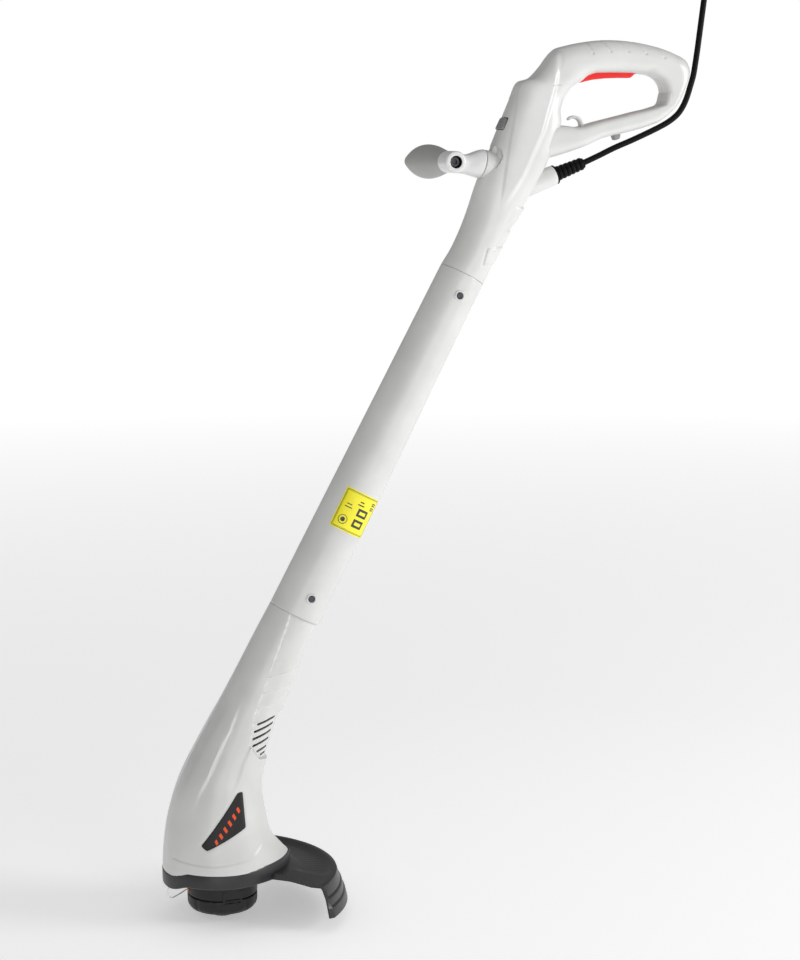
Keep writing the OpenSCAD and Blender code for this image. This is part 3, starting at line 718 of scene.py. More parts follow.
def pillow(outline: Array, low: float, high: float, radius: float, steps: int = 4) -> Array:
    """A plate of any plan with rounded rims.

    Rings follow the outline, drawn in by r(1 - sin t) as their height goes from each face by
    r(1 - cos t) for t from 90 degrees down to 0.

    Args:
        outline: its plan.
        low: its lower face.
        high: its upper face.
        radius: of the rims.
        steps: rings in each rim.

    Returns:
        A grid of rings.
    """
    tangent = unit(np.roll(outline, -1, 0) - np.roll(outline, 1, 0))
    inward = winding(outline) * np.stack([-tangent[:, 1], tangent[:, 0]], 1)
    t = np.linspace(0, pi / 2, steps)
    inset = np.r_[radius * (1 - np.sin(t)), radius * (1 - np.sin(t[::-1]))]
    height = np.r_[low + radius * (1 - np.cos(t)), high - radius * (1 - np.cos(t[::-1]))]
    flat = outline[None] + inward[None] * inset[:, None, None]
    return np.concatenate([flat, np.broadcast_to(height[:, None, None], (*flat.shape[:2], 1))], -1)


def plate(corners: list, radius: float, low: float, high: float, rim: float) -> Array:
    """A plate with rounded corners and rims, as a grid of rings.

    Args:
        corners: of its plan.
        radius: of its corners.
        low: its lower face.
        high: its upper face.
        rim: the radius of its rims.

    Returns:
        The grid.
    """
    return pillow(rounded(corners, radius), low, high, rim)


def block(x: float, y: float) -> list:
    """The corners of a rectangle about the origin, by its half sizes."""
    return [(-x, -y), (x, -y), (x, y), (-x, y)]


def bent(flat: Array, middle: float) -> Array:
    """A plate wrapped round Z, its X in degrees from the middle and its height as the radius."""
    a = np.radians(middle + flat[..., 0])
    return np.stack([flat[..., 2] * np.cos(a), flat[..., 2] * np.sin(a), flat[..., 1]], -1)


def fluted(ring: Array, depth: float, low: float, high: float, start: float) -> Array:
    """A turned surface with twelve shallow flutes round its rim.

    Args:
        ring: its points.
        depth: of a flute, per point or for all.
        low: the radius where a flute starts.
        high: the radius where it has its full depth.
        start: the cosine at which a flute's flank starts.

    Returns:
        The points with the flutes sunk.
    """
    a = np.arctan2(ring[..., 1], ring[..., 0])
    wide = np.hypot(ring[..., 0], ring[..., 1])
    dent = depth * ease(wide, low, high) * ease(np.cos(a * 12), start, 1.0)
    share = (1 - dent / np.maximum(wide, 1))[..., None]
    return ring * np.concatenate([share, share, np.ones_like(share)], -1)


def sweep(path: Array, wide: Array, thick: Array, sides: int = 16, square: float = 2.0) -> Array:
    """A superellipse section carried along a path that lies close to the XZ plane.

    Args:
        path: its points.
        wide: half size along Y at each point.
        thick: half size across the path at each point.
        sides: points round the section.
        square: the section's squareness.

    Returns:
        A grid of rings.
    """
    ahead = unit(np.gradient(path, axis=0))
    side = unit(np.cross(ahead, [0, 1, 0]))
    up = np.cross(side, ahead)
    a = np.linspace(0, 2 * pi, sides, endpoint=False)
    c, s = np.cos(a), np.sin(a)
    r = (np.abs(c) ** square + np.abs(s) ** square) ** (-1 / square)
    return (
        path[:, None]
        + side[:, None] * (thick[:, None] * (c * r))[..., None]
        + up[:, None] * (wide[:, None] * (s * r))[..., None]
    )


@dataclass(frozen=True)
class Stand:
    """A place and lean for pieces that are worked out about their own origin."""

    origin: Point
    lean: float = 0.0
    turn: float = 0.0

    def put(self, points: Array) -> Array:
        """Turns the points about Z, leans them about Y and moves them to the origin.

        Args:
            points: in the part's own axes.

        Returns:
            The points in the model's axes.
        """
        t, a = radians(self.turn), radians(self.lean)
        about_z = np.array([[cos(t), -sin(t), 0], [sin(t), cos(t), 0], [0, 0, 1]])
        about_y = np.array([[cos(a), 0, sin(a)], [0, 1, 0], [-sin(a), 0, cos(a)]])
        return points @ (about_y @ about_z).T + np.array(self.origin)


def across_y(points: Array) -> Array:
    """Swaps a plate's own axes, so that its plan lies in XZ and its height runs along +Y."""
    return np.stack([points[..., 0], points[..., 2], points[..., 1]], -1)


def joined(name: str, solids: tuple) -> bpy.types.Mesh:
    """One mesh, in metres, that holds all the solids, which are in millimetres.

    Args:
        name: of the mesh.
        solids: to join.

    Returns:
        The mesh.
    """
    starts = np.cumsum([0] + [len(s[0]) for s in solids])
    faces = [[i + start for i in f] for s, start in zip(solids, starts.tolist()) for f in s[1]]
    mesh = bpy.data.meshes.new(name)
    mesh.from_pydata(np.concatenate([s[0] for s in solids]) * MM, [], faces)
    return mesh


def face_out(mesh: bpy.types.Mesh, weld: float = 0.0) -> None:
    """Merges points closer than weld, where it is given, and turns every face outward.

    Args:
        mesh: to mend.
        weld: a distance in metres.
    """
    work = bmesh.new()
    work.from_mesh(mesh)
    if weld:
        bmesh.ops.remove_doubles(work, verts=work.verts, dist=weld)
    bmesh.ops.recalc_face_normals(work, faces=work.faces)
    work.to_mesh(mesh)
    work.free()


def make_piece(
    name: str,
    body: str,
    finish: Finish,
    *solids: Solid,
    stands_for: tuple = (),
    uv: Array | None = None,
) -> bpy.types.Object:
    """Joins closed solids into one piece.

    Args:
        name: the piece's name.
        body: the body that it rides on.
        finish: what it wears.
        solids: points in millimetres, with faces.
        stands_for: the frame's nodes that it hides.
        uv: its points' places on a flat sheet.

    Returns:
        The object.
    """
    mesh = joined(name, solids)
    if uv is not None:
        layer = mesh.uv_layers.new(name="sheet")
        corner = np.zeros(len(mesh.loops), np.int32)
        mesh.loops.foreach_get("vertex_index", corner)
        layer.data.foreach_set("uv", uv[corner].astype(np.float32).ravel())
    face_out(mesh, WELD)
    return dress(name, body, finish, mesh, stands_for)


def dress(
    name: str,
    body: str,
    finish: Finish,
    mesh: bpy.types.Mesh,
    stands_for: tuple,
) -> bpy.types.Object:
    """Gives a mesh its object, shading, finish and body.

    Args:
        name: the piece's name.
        body: the body that it rides on.
        finish: what it wears.
        mesh: its mesh, in metres.
        stands_for: the frame's nodes that it hides.

    Returns:
        The object.
    """
    mesh.shade_smooth()
    mesh.set_sharp_from_angle(angle=radians(CREASE_ANGLE))
    mesh.materials.append(finish.material())
    piece = bpy.data.objects.new(name, mesh)
    bpy.context.scene.collection.objects.link(piece)
    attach(piece, body)
    if stands_for:
        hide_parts(*stands_for)
    log.info("%s: %d faces on %s", name, len(mesh.polygons), body)
    return piece


def carve(piece: bpy.types.Object, *cutters: Solid) -> None:
    """Cuts closed solids out of a piece, and leaves the result as its mesh.

    Args:
        piece: what is cut.
        cutters: points in millimetres, with faces.
    """
    mesh = joined("cutter", cutters)
    face_out(mesh)
    tool = bpy.data.objects.new("cutter", mesh)
    bpy.context.scene.collection.objects.link(tool)
    cut = piece.modifiers.new("cut", "BOOLEAN")
    cut.object, cut.operation, cut.solver = tool, "DIFFERENCE", "EXACT"
    seen = piece.evaluated_get(bpy.context.evaluated_depsgraph_get())
    done = bpy.data.meshes.new_from_object(seen)
    piece.modifiers.clear()
    piece.data = done
    done.shade_smooth()
    done.set_sharp_from_angle(angle=radians(CREASE_ANGLE))
    bpy.data.objects.remove(tool)


# ---- Places shared by the sub-assemblies ----

JOINTS = {joint["name"]: joint for joint in frame["joints"]}
CAD = Stand((0.0, 0.0, 0.0))
HEAD = Stand(tuple(1000 * v for v in JOINTS["head_spin"]["pos_m"]))
UPPER_JOINT = (-174.0, 0.0, -235.0)
SHAFT_LENGTH = 413.0
SHAFT_TILT = 27.7
SHAFT_TOP_D = 50.8
SHAFT_FOOT_D = 59.4
SHAFT = Stand(
    (
        UPPER_JOINT[0] - SHAFT_LENGTH * sin(radians(SHAFT_TILT)),
        0.0,
        UPPER_JOINT[2] - SHAFT_LENGTH * cos(radians(SHAFT_TILT)),
    ),
    SHAFT_TILT,
)
COLLAR = Stand((-151.5, 0.0, -115.7), -77.7)
STUB = Stand((-66.7, 0.0, -127.7), 69.3)
BUTTON = Stand((-129.5, 0.0, -72.0), -66.4)
LABEL_WIDTH = 47.5
LABEL_LENGTH = 46.0
SEAM_GAP = 0.3
PARTING_DEPTH = 0.45
PARTING_HALF = 0.9
SCREW_INSET = 24.0
WELL_R = 3.6
WELL_WALL = 1.6
BELL_CENTRE_X = 5.0


def seam_row(joint: Point, diameter: float) -> list:
    """The round section where a housing meets the shaft, as a row for loft.

    Args:
        joint: its centre.
        diameter: of the shaft there.

    Returns:
        The row.
    """
    r = diameter / 2
    dx, dz = r * cos(radians(SHAFT_TILT)), r * sin(radians(SHAFT_TILT))
    return [joint[0] - dx, joint[2] + dz, joint[0] + dx, joint[2] - dz, 0.5, r, 2, 2.0]


def seam_inset() -> Array:
    """The step in x and z, along the shaft, that leaves the fine gap at a seam."""
    return SEAM_GAP * np.array([sin(radians(SHAFT_TILT)), cos(radians(SHAFT_TILT))])


def smooth_rows(rows: Array, count: int) -> Array:
    """Loft rows joined smoothly over the distance between the sections' middles.

    Args:
        rows: of the loft.
        count: of rows wanted.

    Returns:
        The rows.
    """
    middles = (rows[:, :2] + rows[:, 2:4]) / 2
    gone = np.r_[0, np.linalg.norm(np.diff(middles, axis=0), axis=1).cumsum()]
    return through(rows, gone, count)


def half_turns(half: Half, count: int) -> Array:
    """Angles over one half, crowded toward the parting plane by a cosine.

    Args:
        half: which side of the parting plane.
        count: how many.

    Returns:
        The angles, from 0 at the rear to half a turn.
    """
    t = (1 - np.cos(np.linspace(0, pi, count))) / 2
    even = np.linspace(0, 1, count)
    return half.value * pi * (0.35 * t + 0.65 * even)


def front_dip(a: Array) -> Array:
    """1 straight ahead of the motor, 0 past forty degrees either way."""
    return ease(-np.cos(a), 0.72, 1.0)


def base_line(a: Array) -> Array:
    """The height where the white bell gives way to the black base, round the motor."""
    return 7.0 - 8.0 * front_dip(a) + 2.5 * ease(np.cos(a), 0.1, 0.7)


def parting(y: Array) -> Array:
    """The fine V along the parting plane."""
    return -PARTING_DEPTH * (1 - ease(np.abs(y), 0, PARTING_HALF))


def screw_wells(
    places: tuple, floor: float, surface: Array, stand: Stand
) -> tuple[list[Solid], list[Solid]]:
    """The wells of the clamshell screws, which are driven from the far side.

    Args:
        places: their x and z.
        floor: the y that the screw heads reach.
        surface: the far half's outer points.
        stand: what places them in the frame.

    Returns:
        The holes to cut, and the sleeves that line them.
    """
    flat = surface.reshape(-1, 3)
    holes, sleeves = [], []
    for x, z in places:
        y = float(flat[np.argmin((flat[:, 0] - x) ** 2 + (flat[:, 2] - z) ** 2), 1])
        low, high, out = floor - 2.5, y - 1.2, y + 4
        rim = WELL_R + WELL_WALL
        hole = revolve(np.array([[0.01, floor], [WELL_R, floor], [WELL_R, out], [0.01, out]]), 32)
        sleeve = revolve(
            rounded([(WELL_R, low), (rim, low), (rim, high), (WELL_R, high)], 0.3), 32
        )
        for ring, kept, loop in ((hole, holes, False), (sleeve, sleeves, True)):
            kept.append(tube(stand.put(across_y(ring) + np.array([x, 0, z])), loop))
    return holes, sleeves


# ---- Sub-assemblies ----


@dataclass
class Studio:
    """The camera, the pale floor and the soft lights."""

    eye: Point = (-0.9445, -2.1530, -0.1005)
    aim: Point = (-0.245, 0.0, -0.459)
    lens: float = 78.15
    floor_r: float = 9000.0
    sky_glow: float = 0.31
    # The floor's glow is painted light, rising from grey to white across glow_reach.
    floor_glow: float = 0.75
    glow_reach: tuple = (1.2, 5.0)
    lamps: tuple = (
        ("key", (2.1, -1.3, 0.2), 1.1, 35.0, (-0.25, 0.0, -0.45)),
        ("front", (0.2, -3.3, 0.1), 1.3, 11.0, (-0.25, 0.0, -0.45)),
        ("foot", (-1.3, -2.2, -0.55), 0.9, 5.0, (-0.45, 0.0, -0.8)),
        ("top", (0.2, 0.3, 2.6), 2.0, 6.0, (-0.25, 0.0, -0.45)),
    )

    def camera(self) -> None:
        """Stands the camera at the eye, turned to its aim."""
        data = bpy.data.cameras.new("camera")
        data.lens = self.lens
        data.clip_end = 100
        camera = bpy.data.objects.new("camera", data)
        camera.location = self.eye
        camera.rotation_euler = (
            (Vector(self.aim) - Vector(self.eye)).to_track_quat("-Z", "Y").to_euler()
        )
        bpy.context.scene.collection.objects.link(camera)
        bpy.context.scene.camera = camera

    def floor(self) -> None:
        """A wide plain floor just under the bump knob, which glows as painted light: grey near its middle, white
        far off.
        """
        low, r = CAD_BOX[0].z / MM - 0.5, self.floor_r
        disc = revolve(np.array([[0.01, low - 20], [r, low - 20], [r, low], [0.01, low]]), 64)
        points, faces = tube(disc)
        mesh = bpy.data.meshes.new("floor")
        mesh.from_pydata(points * MM, [], faces)
        board = Board("floor")
        tone = board.mix(board.noise(900, 2), (0.9, 0.9, 0.9), (0.92, 0.92, 0.92))
        # Painted glow: the floor emits grey near its middle and white far off.
        reach = board.add(
            "ShaderNodeVectorMath", {"operation": "LENGTH"}, {0: board.place()}, "Value"
        )
        painted_glow = board.mix(board.ramp(reach, *self.glow_reach), (0.52, 0.52, 0.52), (1.0, 1.0, 1.0))
        board.finish(
            Base_Color=tone, Roughness=0.8, Emission_Color=painted_glow, Emission_Strength=self.floor_glow
        )
        mesh.materials.append(board.material)
        floor = bpy.data.objects.new("floor", mesh)
        bpy.context.scene.collection.objects.link(floor)

    def lamp(self, name: str, place: Point, size: float, power: float, aim: Point) -> None:
        """Adds a square soft light.

        Args:
            name: its name.
            place: where it hangs, in metres.
            size: its side, in metres.
            power: in watts.
            aim: the point that it faces.
        """
        data = bpy.data.lights.new(name, "AREA")
        data.size, data.energy = size, power
        lamp = bpy.data.objects.new(name, data)
        lamp.location = place
        lamp.rotation_euler = (Vector(aim) - Vector(place)).to_track_quat("-Z", "Y").to_euler()
        bpy.context.scene.collection.objects.link(lamp)

    def lights(self) -> None:
        """An even sky that the camera sees as white, and the lamps."""
        world = bpy.data.worlds.new("sky")
        world.use_nodes = True
        tree = world.node_tree
        glow = tree.nodes["Background"]
        seen = tree.nodes.new("ShaderNodeBackground")
        for shader, strength in ((glow, self.sky_glow), (seen, 1.0)):
            shader.inputs[0].default_value = (1.0, 1.0, 1.0, 1.0)
            shader.inputs[1].default_value = strength
        choice = tree.nodes.new("ShaderNodeMixShader")
        ray = tree.nodes.new("ShaderNodeLightPath")
        tree.links.new(ray.outputs["Is Camera Ray"], choice.inputs[0])
        tree.links.new(glow.outputs[0], choice.inputs[1])
        tree.links.new(seen.outputs[0], choice.inputs[2])
        tree.links.new(choice.outputs[0], tree.nodes["World Output"].inputs[0])
        bpy.context.scene.world = world
        for name, place, size, power, aim in self.lamps:
            self.lamp(name, place, size, power, aim)

    def build(self) -> None:
        """Sets the camera, the floor, the lights and a plain display of their light."""
        bpy.context.scene.view_settings.view_transform = "Standard"
        self.camera()
        self.floor()
        self.lights()


@dataclass
class MainsCord:
    """The mains cord with its strain relief and its two-pin plug."""

    diameter: float = 6.6
    relief_length: float = 37.0
    plug_lean: float = 7.1
    route: list = field(
        default_factory=lambda: [
            [-31.8, 0, -114.5], [-16, -1, -107.5], [4, -3, -98], [22, -5, -90.5], [40, -7, -82.5],
            [54, -8, -76], [63, -8, -71.5], [71, -8, -66.5], [78, -8, -60.5], [84, -8, -52],
            [88.5, -8, -42], [92, -8, -31], [95.5, -8, -19], [98, -8, -4], [100, -8, 10],
            [102, -8, 26], [104, -8, 42], [106, -8, 58], [108, -8, 74],
        ]
    )

    def plug(self) -> bpy.types.Object:
        """The plug: a ribbed neck that widens into a flat oval face, section by section.

        Returns:
            The piece.
        """
        stand = Stand(tuple(self.route[-1]), self.plug_lean)
        rows = [
            [0.0, 4.6, 4.6, 2.0], [4, 5.6, 5.6, 2.0], [5, 4.9, 4.9, 2.0], [7, 4.9, 4.9, 2.0],
            [8, 5.9, 6.0, 2.0], [11, 6.0, 6.2, 2.0], [12, 5.2, 5.4, 2.0], [14, 5.2, 5.6, 2.0],
            [15, 6.3, 7.0, 2.0], [20, 7.0, 8.6, 2.1], [27, 8.2, 12.4, 2.3], [33, 9.4, 16.0, 2.5],
            [38, 10.2, 18.4, 2.6], [44, 10.9, 19.3, 2.7], [50, 11.0, 19.4, 2.8],
            [51.6, 10.6, 19.0, 2.8], [52.0, 9.6, 18.0, 2.8],
        ]
        r = np.array(rows)
        a = np.linspace(0, 2 * pi, 48, endpoint=False)[None]
        c, s = np.cos(a), np.sin(a)
        reach = (np.abs(c) ** r[:, 3:] + np.abs(s) ** r[:, 3:]) ** (-1 / r[:, 3:])
        grid = np.stack([r[:, 1:2] * c * reach, r[:, 2:3] * s * reach, r[:, :1] + 0 * a], -1)
        return make_piece(
            "mains_plug", "frame", Shade.rubber, tube(stand.put(grid)), stands_for=("plug_body",)
        )

    def relief(self) -> None:
        """The strain relief: a flange, then six collars that shrink along a taper."""
        profile = [[0, -6], [8.4, -6], [8.4, 0.1], [10.6, 0.1]]
        profile += [[10.9, 0.9], [10.6, 1.9], [8.0, 2.2]]
        for i in range(6):
            r, z = 8.1 - 0.22 * i, 3 + 5.5 * i
            profile += [[r - 1.7, z + 0.1], [r - 0.2, z + 0.9], [r, z + 1.5], [r, z + 3.6]]
            profile += [[r - 0.3, z + 4.2], [r - 1.8, z + 4.7]]
        profile += [[5.9, 36.2], [5.4, self.relief_length], [0, self.relief_length]]
        ring = revolve(rounded(profile, 0.5, closed=False, steps=3), 40)
        make_piece(
            "cord_strain_relief", "frame", Shade.rubber, tube(STUB.put(ring)),
            stands_for=("strain_relief",),
        )

    def build(self) -> None:
        """Carries a round section along the route, then adds the plug and the relief."""
        path = smooth_path(self.route, 170)
        r = np.full(len(path), self.diameter / 2)
        cord = make_piece(
            "mains_cord", "frame", Shade.rubber, tube(sweep(path, r, r, 18)),
            stands_for=("power_cord",),
        )
        tuple(float(v) for v in path[0] * MM)
        [tuple(float(v) for v in p) for p in path * MM]
        self.plug()
        self.relief()


@dataclass
class LoopHandle:
    """The two halves of the column with its loop, the cord's stub and the cord hook."""

    thickness: float = 2.4
    sections: int = 380
    round_points: int = 84
    trigger_slot: tuple = (-46.5, 27.5)
    column: list = field(
        default_factory=lambda: [
            seam_row(UPPER_JOINT, SHAFT_TOP_D),
            [-186, -207, -141, -227, 0.5, 25.2, 2, 2],
            [-174.5, -184, -128, -203, 0.5, 24.8, 2.1, 2.1],
            [-166.5, -164, -117, -181, 0.5, 24.3, 2.2, 2.2],
            [-157, -137, -104, -160, 0.5, 23.6, 2.4, 2.4],
            [-147.5, -115, -92, -140, 0.5, 22.8, 2.6, 2.6],
            [-138, -92, -77, -113, 0.5, 22, 2.8, 2.8],
            [-128, -69, -62, -72, 0.5, 21, 3, 3], [-117, -44, -62.5, -56, 0.5, 20.2, 3, 3],
            [-108.5, -28, -57.5, -43, 0.5, 19.5, 3, 3], [-95, -24, -50.5, -33.5, 0.5, 19, 3, 3],
            [-84, -12, -44, -29.5, 0.5, 18.5, 2.8, 2.8], [-75, 0.5, -38, -26.5, 0.5, 18, 2.6, 2.8],
            [-68, 8, -31, -21, 0.5, 18, 2.5, 2.8], [-55, 12, -23, -18, 0.5, 17.8, 2.4, 2.8],
            [-35, 16, -12, -17.2, 0.5, 17.5, 2.3, 2.8], [-10, 18.6, 2, -17, 0.5, 17.3, 2.3, 2.8],
            [15, 18, 15, -17, 0.5, 17.3, 2.3, 2.8], [38, 15, 30, -17.5, 0.5, 17.3, 2.3, 2.8],
            [58, 10.5, 42, -18.5, 0.5, 17.3, 2.3, 2.8], [74, 5, 51, -21, 0.5, 17.2, 2.3, 2.8],
            [86, -1, 57, -25.5, 0.5, 17, 2.4, 2.8], [91.5, -8.5, 60.5, -31, 0.5, 16.8, 2.4, 2.8],
            [92, -18, 62, -37, 0.5, 16.5, 2.5, 2.8], [87.5, -30, 62.5, -43, 0.5, 16.3, 2.5, 2.8],
            [83, -41, 60.5, -49, 0.5, 16, 2.5, 2.8],
        ]
    )
    lower_bar: list = field(
        default_factory=lambda: [
            [85, -36, 62, -38, 0.5, 15.8, 2.5, 2.6], [77.5, -51, 58, -50.5, 0.5, 15.8, 2.5, 2.6],
            [69, -60, 51, -53, 0.5, 15.8, 2.5, 2.4], [57, -69, 42, -55.5, 0.5, 15.7, 2.6, 2.3],
            [40, -75.5, 28, -58.5, 0.5, 15.6, 2.6, 2.3], [15, -82, 5, -64, 0.5, 15.8, 2.6, 2.3],
            [-12, -88, -20, -70, 0.5, 16.5, 2.6, 2.3],
            [-35, -97.5, -42, -75.5, 0.5, 17.5, 2.6, 2.3],
            [-60, -105.5, -60, -74, 0.5, 18.5, 2.6, 2.4],
            [-85, -112, -86, -74, 0.5, 18.5, 2.6, 2.6],
        ]
    )
    front_crease: tuple = ((-112.4, -32.4), (-125.8, -90.9), (-140.1, -166.9))
    rear_crease: tuple = (
        (-71.4, -0.1), (-76.8, -31.0), (-92.6, -82.3), (-114.2, -127.3), (-138.3, -163.7),
    )
    grip_grooves: tuple = (
        ((-33.9, 15.0), (-29.0, 3.4)), ((-16.2, 17.5), (-8.1, 5.9)), ((2.5, 18.0), (13.3, 6.2)),
        ((21.5, 16.5), (34.2, 3.8)), ((47.9, 11.5), (56.4, -0.2)),
    )
    column_screws: tuple = (
        (-163, -183), (-152, -152), (-84, -102), (-101, -50), (-62, -5), (53, -4),
    )
    bar_screws: tuple = ((62, -57), (-20, -79))
    screw_floor: float = 12.5
    collar_pocket: tuple = (
        (-158, -93), (-141, -94.5), (-134.9, -101), (-134.4, -109), (-141, -119), (-162, -124),
    )
    screw_pad: tuple = (
        (-153, -206.6), (-128, -204.2), (-133, -216), (-143, -223), (-157.5, -223.8),
    )

    def relief_map(self, grid: Array, turns: Array) -> Array:
        """How far each point of the column and grip stands proud.

        The long facet between the two creases is raised, sharply at its front edge, and dies out
        toward its foot. Five grooves with a dot at their ends cross the grip, a pocket lies behind
        the swivel collar, and the rear carries a rib and a raised pad.

        Args:
            grid: the plain points.
            turns: the angle of each column of points.

        Returns:
            Offsets along the normals.
        """
        x, y, z = grid[..., 0], grid[..., 1], grid[..., 2]
        flank = ease(np.abs(y), 5, 13)
        front = from_line(x, z, self.front_crease)[0]
        back = from_line(x, z, self.rear_crease)[0]
        wide = np.maximum(front - back, 1e-3)
        facet = 0.8 + 2.4 * np.clip(front / wide, 0, 1)
        level = facet * ease(front, -0.5, 0.6) * (1 - ease(back, 0.0, 6.5))
        body = ease(z, -176, -140) * (1 - 0.5 * ease(z, -30, -10)) * np.clip(wide / 12, 0, 1)
        offset = level * body * flank
        offset = offset - 0.8 * groove(x, z, [(-77.6, -30.9), (-67.1, -30.3)], 0.7) * flank
        for path in self.grip_grooves:
            offset = offset - 0.8 * groove(x, z, path, 0.75)
            dot = (x - path[1][0]) ** 2 + (z - path[1][1]) ** 2
            offset = offset - 0.9 * np.exp(-dot / 1.4)
        pocket = ease(convex_depth(x, z, self.collar_pocket), -0.3, 0.8)
        offset = offset - 4.5 * pocket * ease(np.abs(y), 5, 9)
        pad = convex_depth(x, z, self.screw_pad)
        offset = offset + 1.0 * ease(pad, -0.5, 0.7) - 0.45 * np.exp(-((pad + 1.1) / 0.8) ** 2)
        rear = ease(np.cos(turns), 0.45, 0.85)[None]
        rib = ease(z, -186, -176) * (1 - ease(z, -163.5, -161))
        rib = rib + ease(z, -206, -196) * (1 - ease(z, -189, -186)) * 0.6
        offset = offset + 2.2 * rib * rear
        return offset + parting(y)

    def strip(self, rows: Array, half: Half, mapped: bool, count: int) -> tuple[Array, Solid]:
        """One half of a loft.

        Args:
            rows: its sections.
            half: which half.
            mapped: whether it carries the column's relief, or only the parting line.
            count: sections wanted.

        Returns:
            Its plain outer points, and its closed wall with the relief on the outside.
        """
        turns = half_turns(half, self.round_points)
        grid = loft(smooth_rows(rows, count), turns)
        n = outward(grid)
        lift = self.relief_map(grid, turns) if mapped else parting(grid[..., 1])
        return grid, wall(grid + n * lift[..., None], self.thickness, n)

    def stub(self, half: Half) -> Solid:
        """The round stub for the cord, tapered a little and rounded at its mouth.

        Args:
            half: which side of the parting plane.

        Returns:
            The stub.
        """
        profile = [[11.9, -47], [11.6, -34], [11.3, -20], [11.0, -8], [10.8, -1.2], [10.5, -0.4]]
        profile = np.array([*profile, [9.9, 0]])
        a = half.value * np.linspace(0.0, pi, 40)[None]
        r = profile[:, :1] + 0 * a
        h = profile[:, 1:2] + 0 * a
        grid = STUB.put(np.stack([r * np.cos(a), r * np.sin(a), h], -1))
        return wall(grid, 1.6)

    def halves(self) -> None:
        """Builds each half, and cuts the slots of the trigger and the lock button."""
        column, bar = np.array(self.column, float), np.array(self.lower_bar, float)
        bar[:, 7] = 4.6
        column[20:, 7] = 4.4
        column[0, :4] += np.tile(seam_inset(), 2)
        low, high = self.trigger_slot
        slot = tube(plate([(low, -7), (high, -7), (high, 7), (low, 7)], 2, -30, -9, 0.1))
        hole = tube(BUTTON.put(plate(block(7.5, 11.5), 2.5, -8, 12, 0.1)))
        for half, node in ((Half.LEFT, "handle_shell_left"), (Half.RIGHT, "handle_shell_right")):
            side = node.rsplit("_", 1)[1]
            skin, body = self.strip(column, half, True, self.sections)
            under, lower = self.strip(bar, half, False, 130)
            shell = make_piece(
                f"loop_handle_{side}", "frame", Shade.housing, body, stands_for=(node,)
            )
            beam = make_piece(f"lower_bar_{side}", "frame", Shade.housing, lower)
            make_piece(f"cord_stub_{side}", "frame", Shade.housing, self.stub(half))
            cuts = [slot, hole]
            if half is Half.RIGHT:
                holes, sleeves = screw_wells(self.column_screws, self.screw_floor, skin, CAD)
                bar_holes, bar_sleeves = screw_wells(self.bar_screws, self.screw_floor, under, CAD)
                make_piece("handle_screw_wells", "frame", Shade.housing, *sleeves, *bar_sleeves)
                cuts += holes
                carve(beam, *bar_holes)
            carve(shell, *cuts)

    def hook(self) -> None:
        """The cord hook: a flat curl that leaves the lower bar and thins toward its tip."""
        path = smooth_path(
            [[-35.4, 0, -80], [-35.6, 0, -74], [-36.8, 0, -69.6], [-40, 0, -66.2],
             [-44.2, 0, -64.8], [-48.4, 0, -65.4], [-52.0, 0, -68.2]], 60)
        t = np.linspace(0, 1, len(path))
        end = np.sqrt(np.clip(1 - ((t - 0.9) / 0.1) ** 2, 0.02, 1)) * (t > 0.9) + (t <= 0.9)
        make_piece(
            "cord_hook", "frame", Shade.housing,
            tube(sweep(path, 4.8 * end * (1 - 0.25 * t), 2.6 * end * (1 - 0.5 * t), 20, 3.0)),
        )

    def tab(self) -> None:
        """A small latch tab under the lower bar, in a dark grey that is partly painted shade."""
        plan = rounded([(4.0, -90.0), (9.5, -88.2), (11.0, -80.0), (1.0, -82.0)], 1.2)
        make_piece("bar_tab", "frame", Shade.pocket, tube(across_y(pillow(plan, -5, 5, 1.0))))

    def build(self) -> None:
        """Builds the halves, the hook and the tab."""
        self.halves()
        self.hook()
        self.tab()


@dataclass
class Trigger:
    """The finger trigger, curved along its length, and the lock button."""

    width: float = 12.6
    outline: tuple = (
        (-39, -28), (-33, -26.2), (-23, -24.2), (-8, -22.7), (8, -22), (21, -22), (26, -17.6),
        (32, -16.4), (32, -8.6), (20, -11.5), (-13, -11.5), (-14, -8), (-22, -8), (-23, -11.5),
        (-38, -14), (-45, -17.5), (-45, -24),
    )

    def build(self) -> None:
        """A rounded plate of the trigger's side view, and a button with three grip ridges."""
        plan = rounded(list(self.outline), 1.8, steps=6)
        half = self.width / 2
        make_piece(
            "finger_trigger", "trigger", Shade.trigger,
            tube(across_y(pillow(plan, -half, half, 1.8, 7))), stands_for=("trigger",),
        )
        plan = rounded([(-6.8, -10.8), (6.8, -8.6), (6.8, 8.6), (-6.8, 10.8)], 2.4, steps=6)
        rings = pillow(plan, -7.5, 0.7, 0.9, 5)
        ridges = [
            tube(BUTTON.put(plate(block(0.7, 7), 0.6, 0.3, 1.2, 0.4) + np.array([x, 0, 0])))
            for x in (-3.2, 0, 3.2)
        ]
        # The lock button's dark grey is partly painted shade.
        make_piece(
            "lock_push_button", "lock_button", Shade.pocket, tube(BUTTON.put(rings)), *ridges,
            stands_for=("lock_button",),
        )


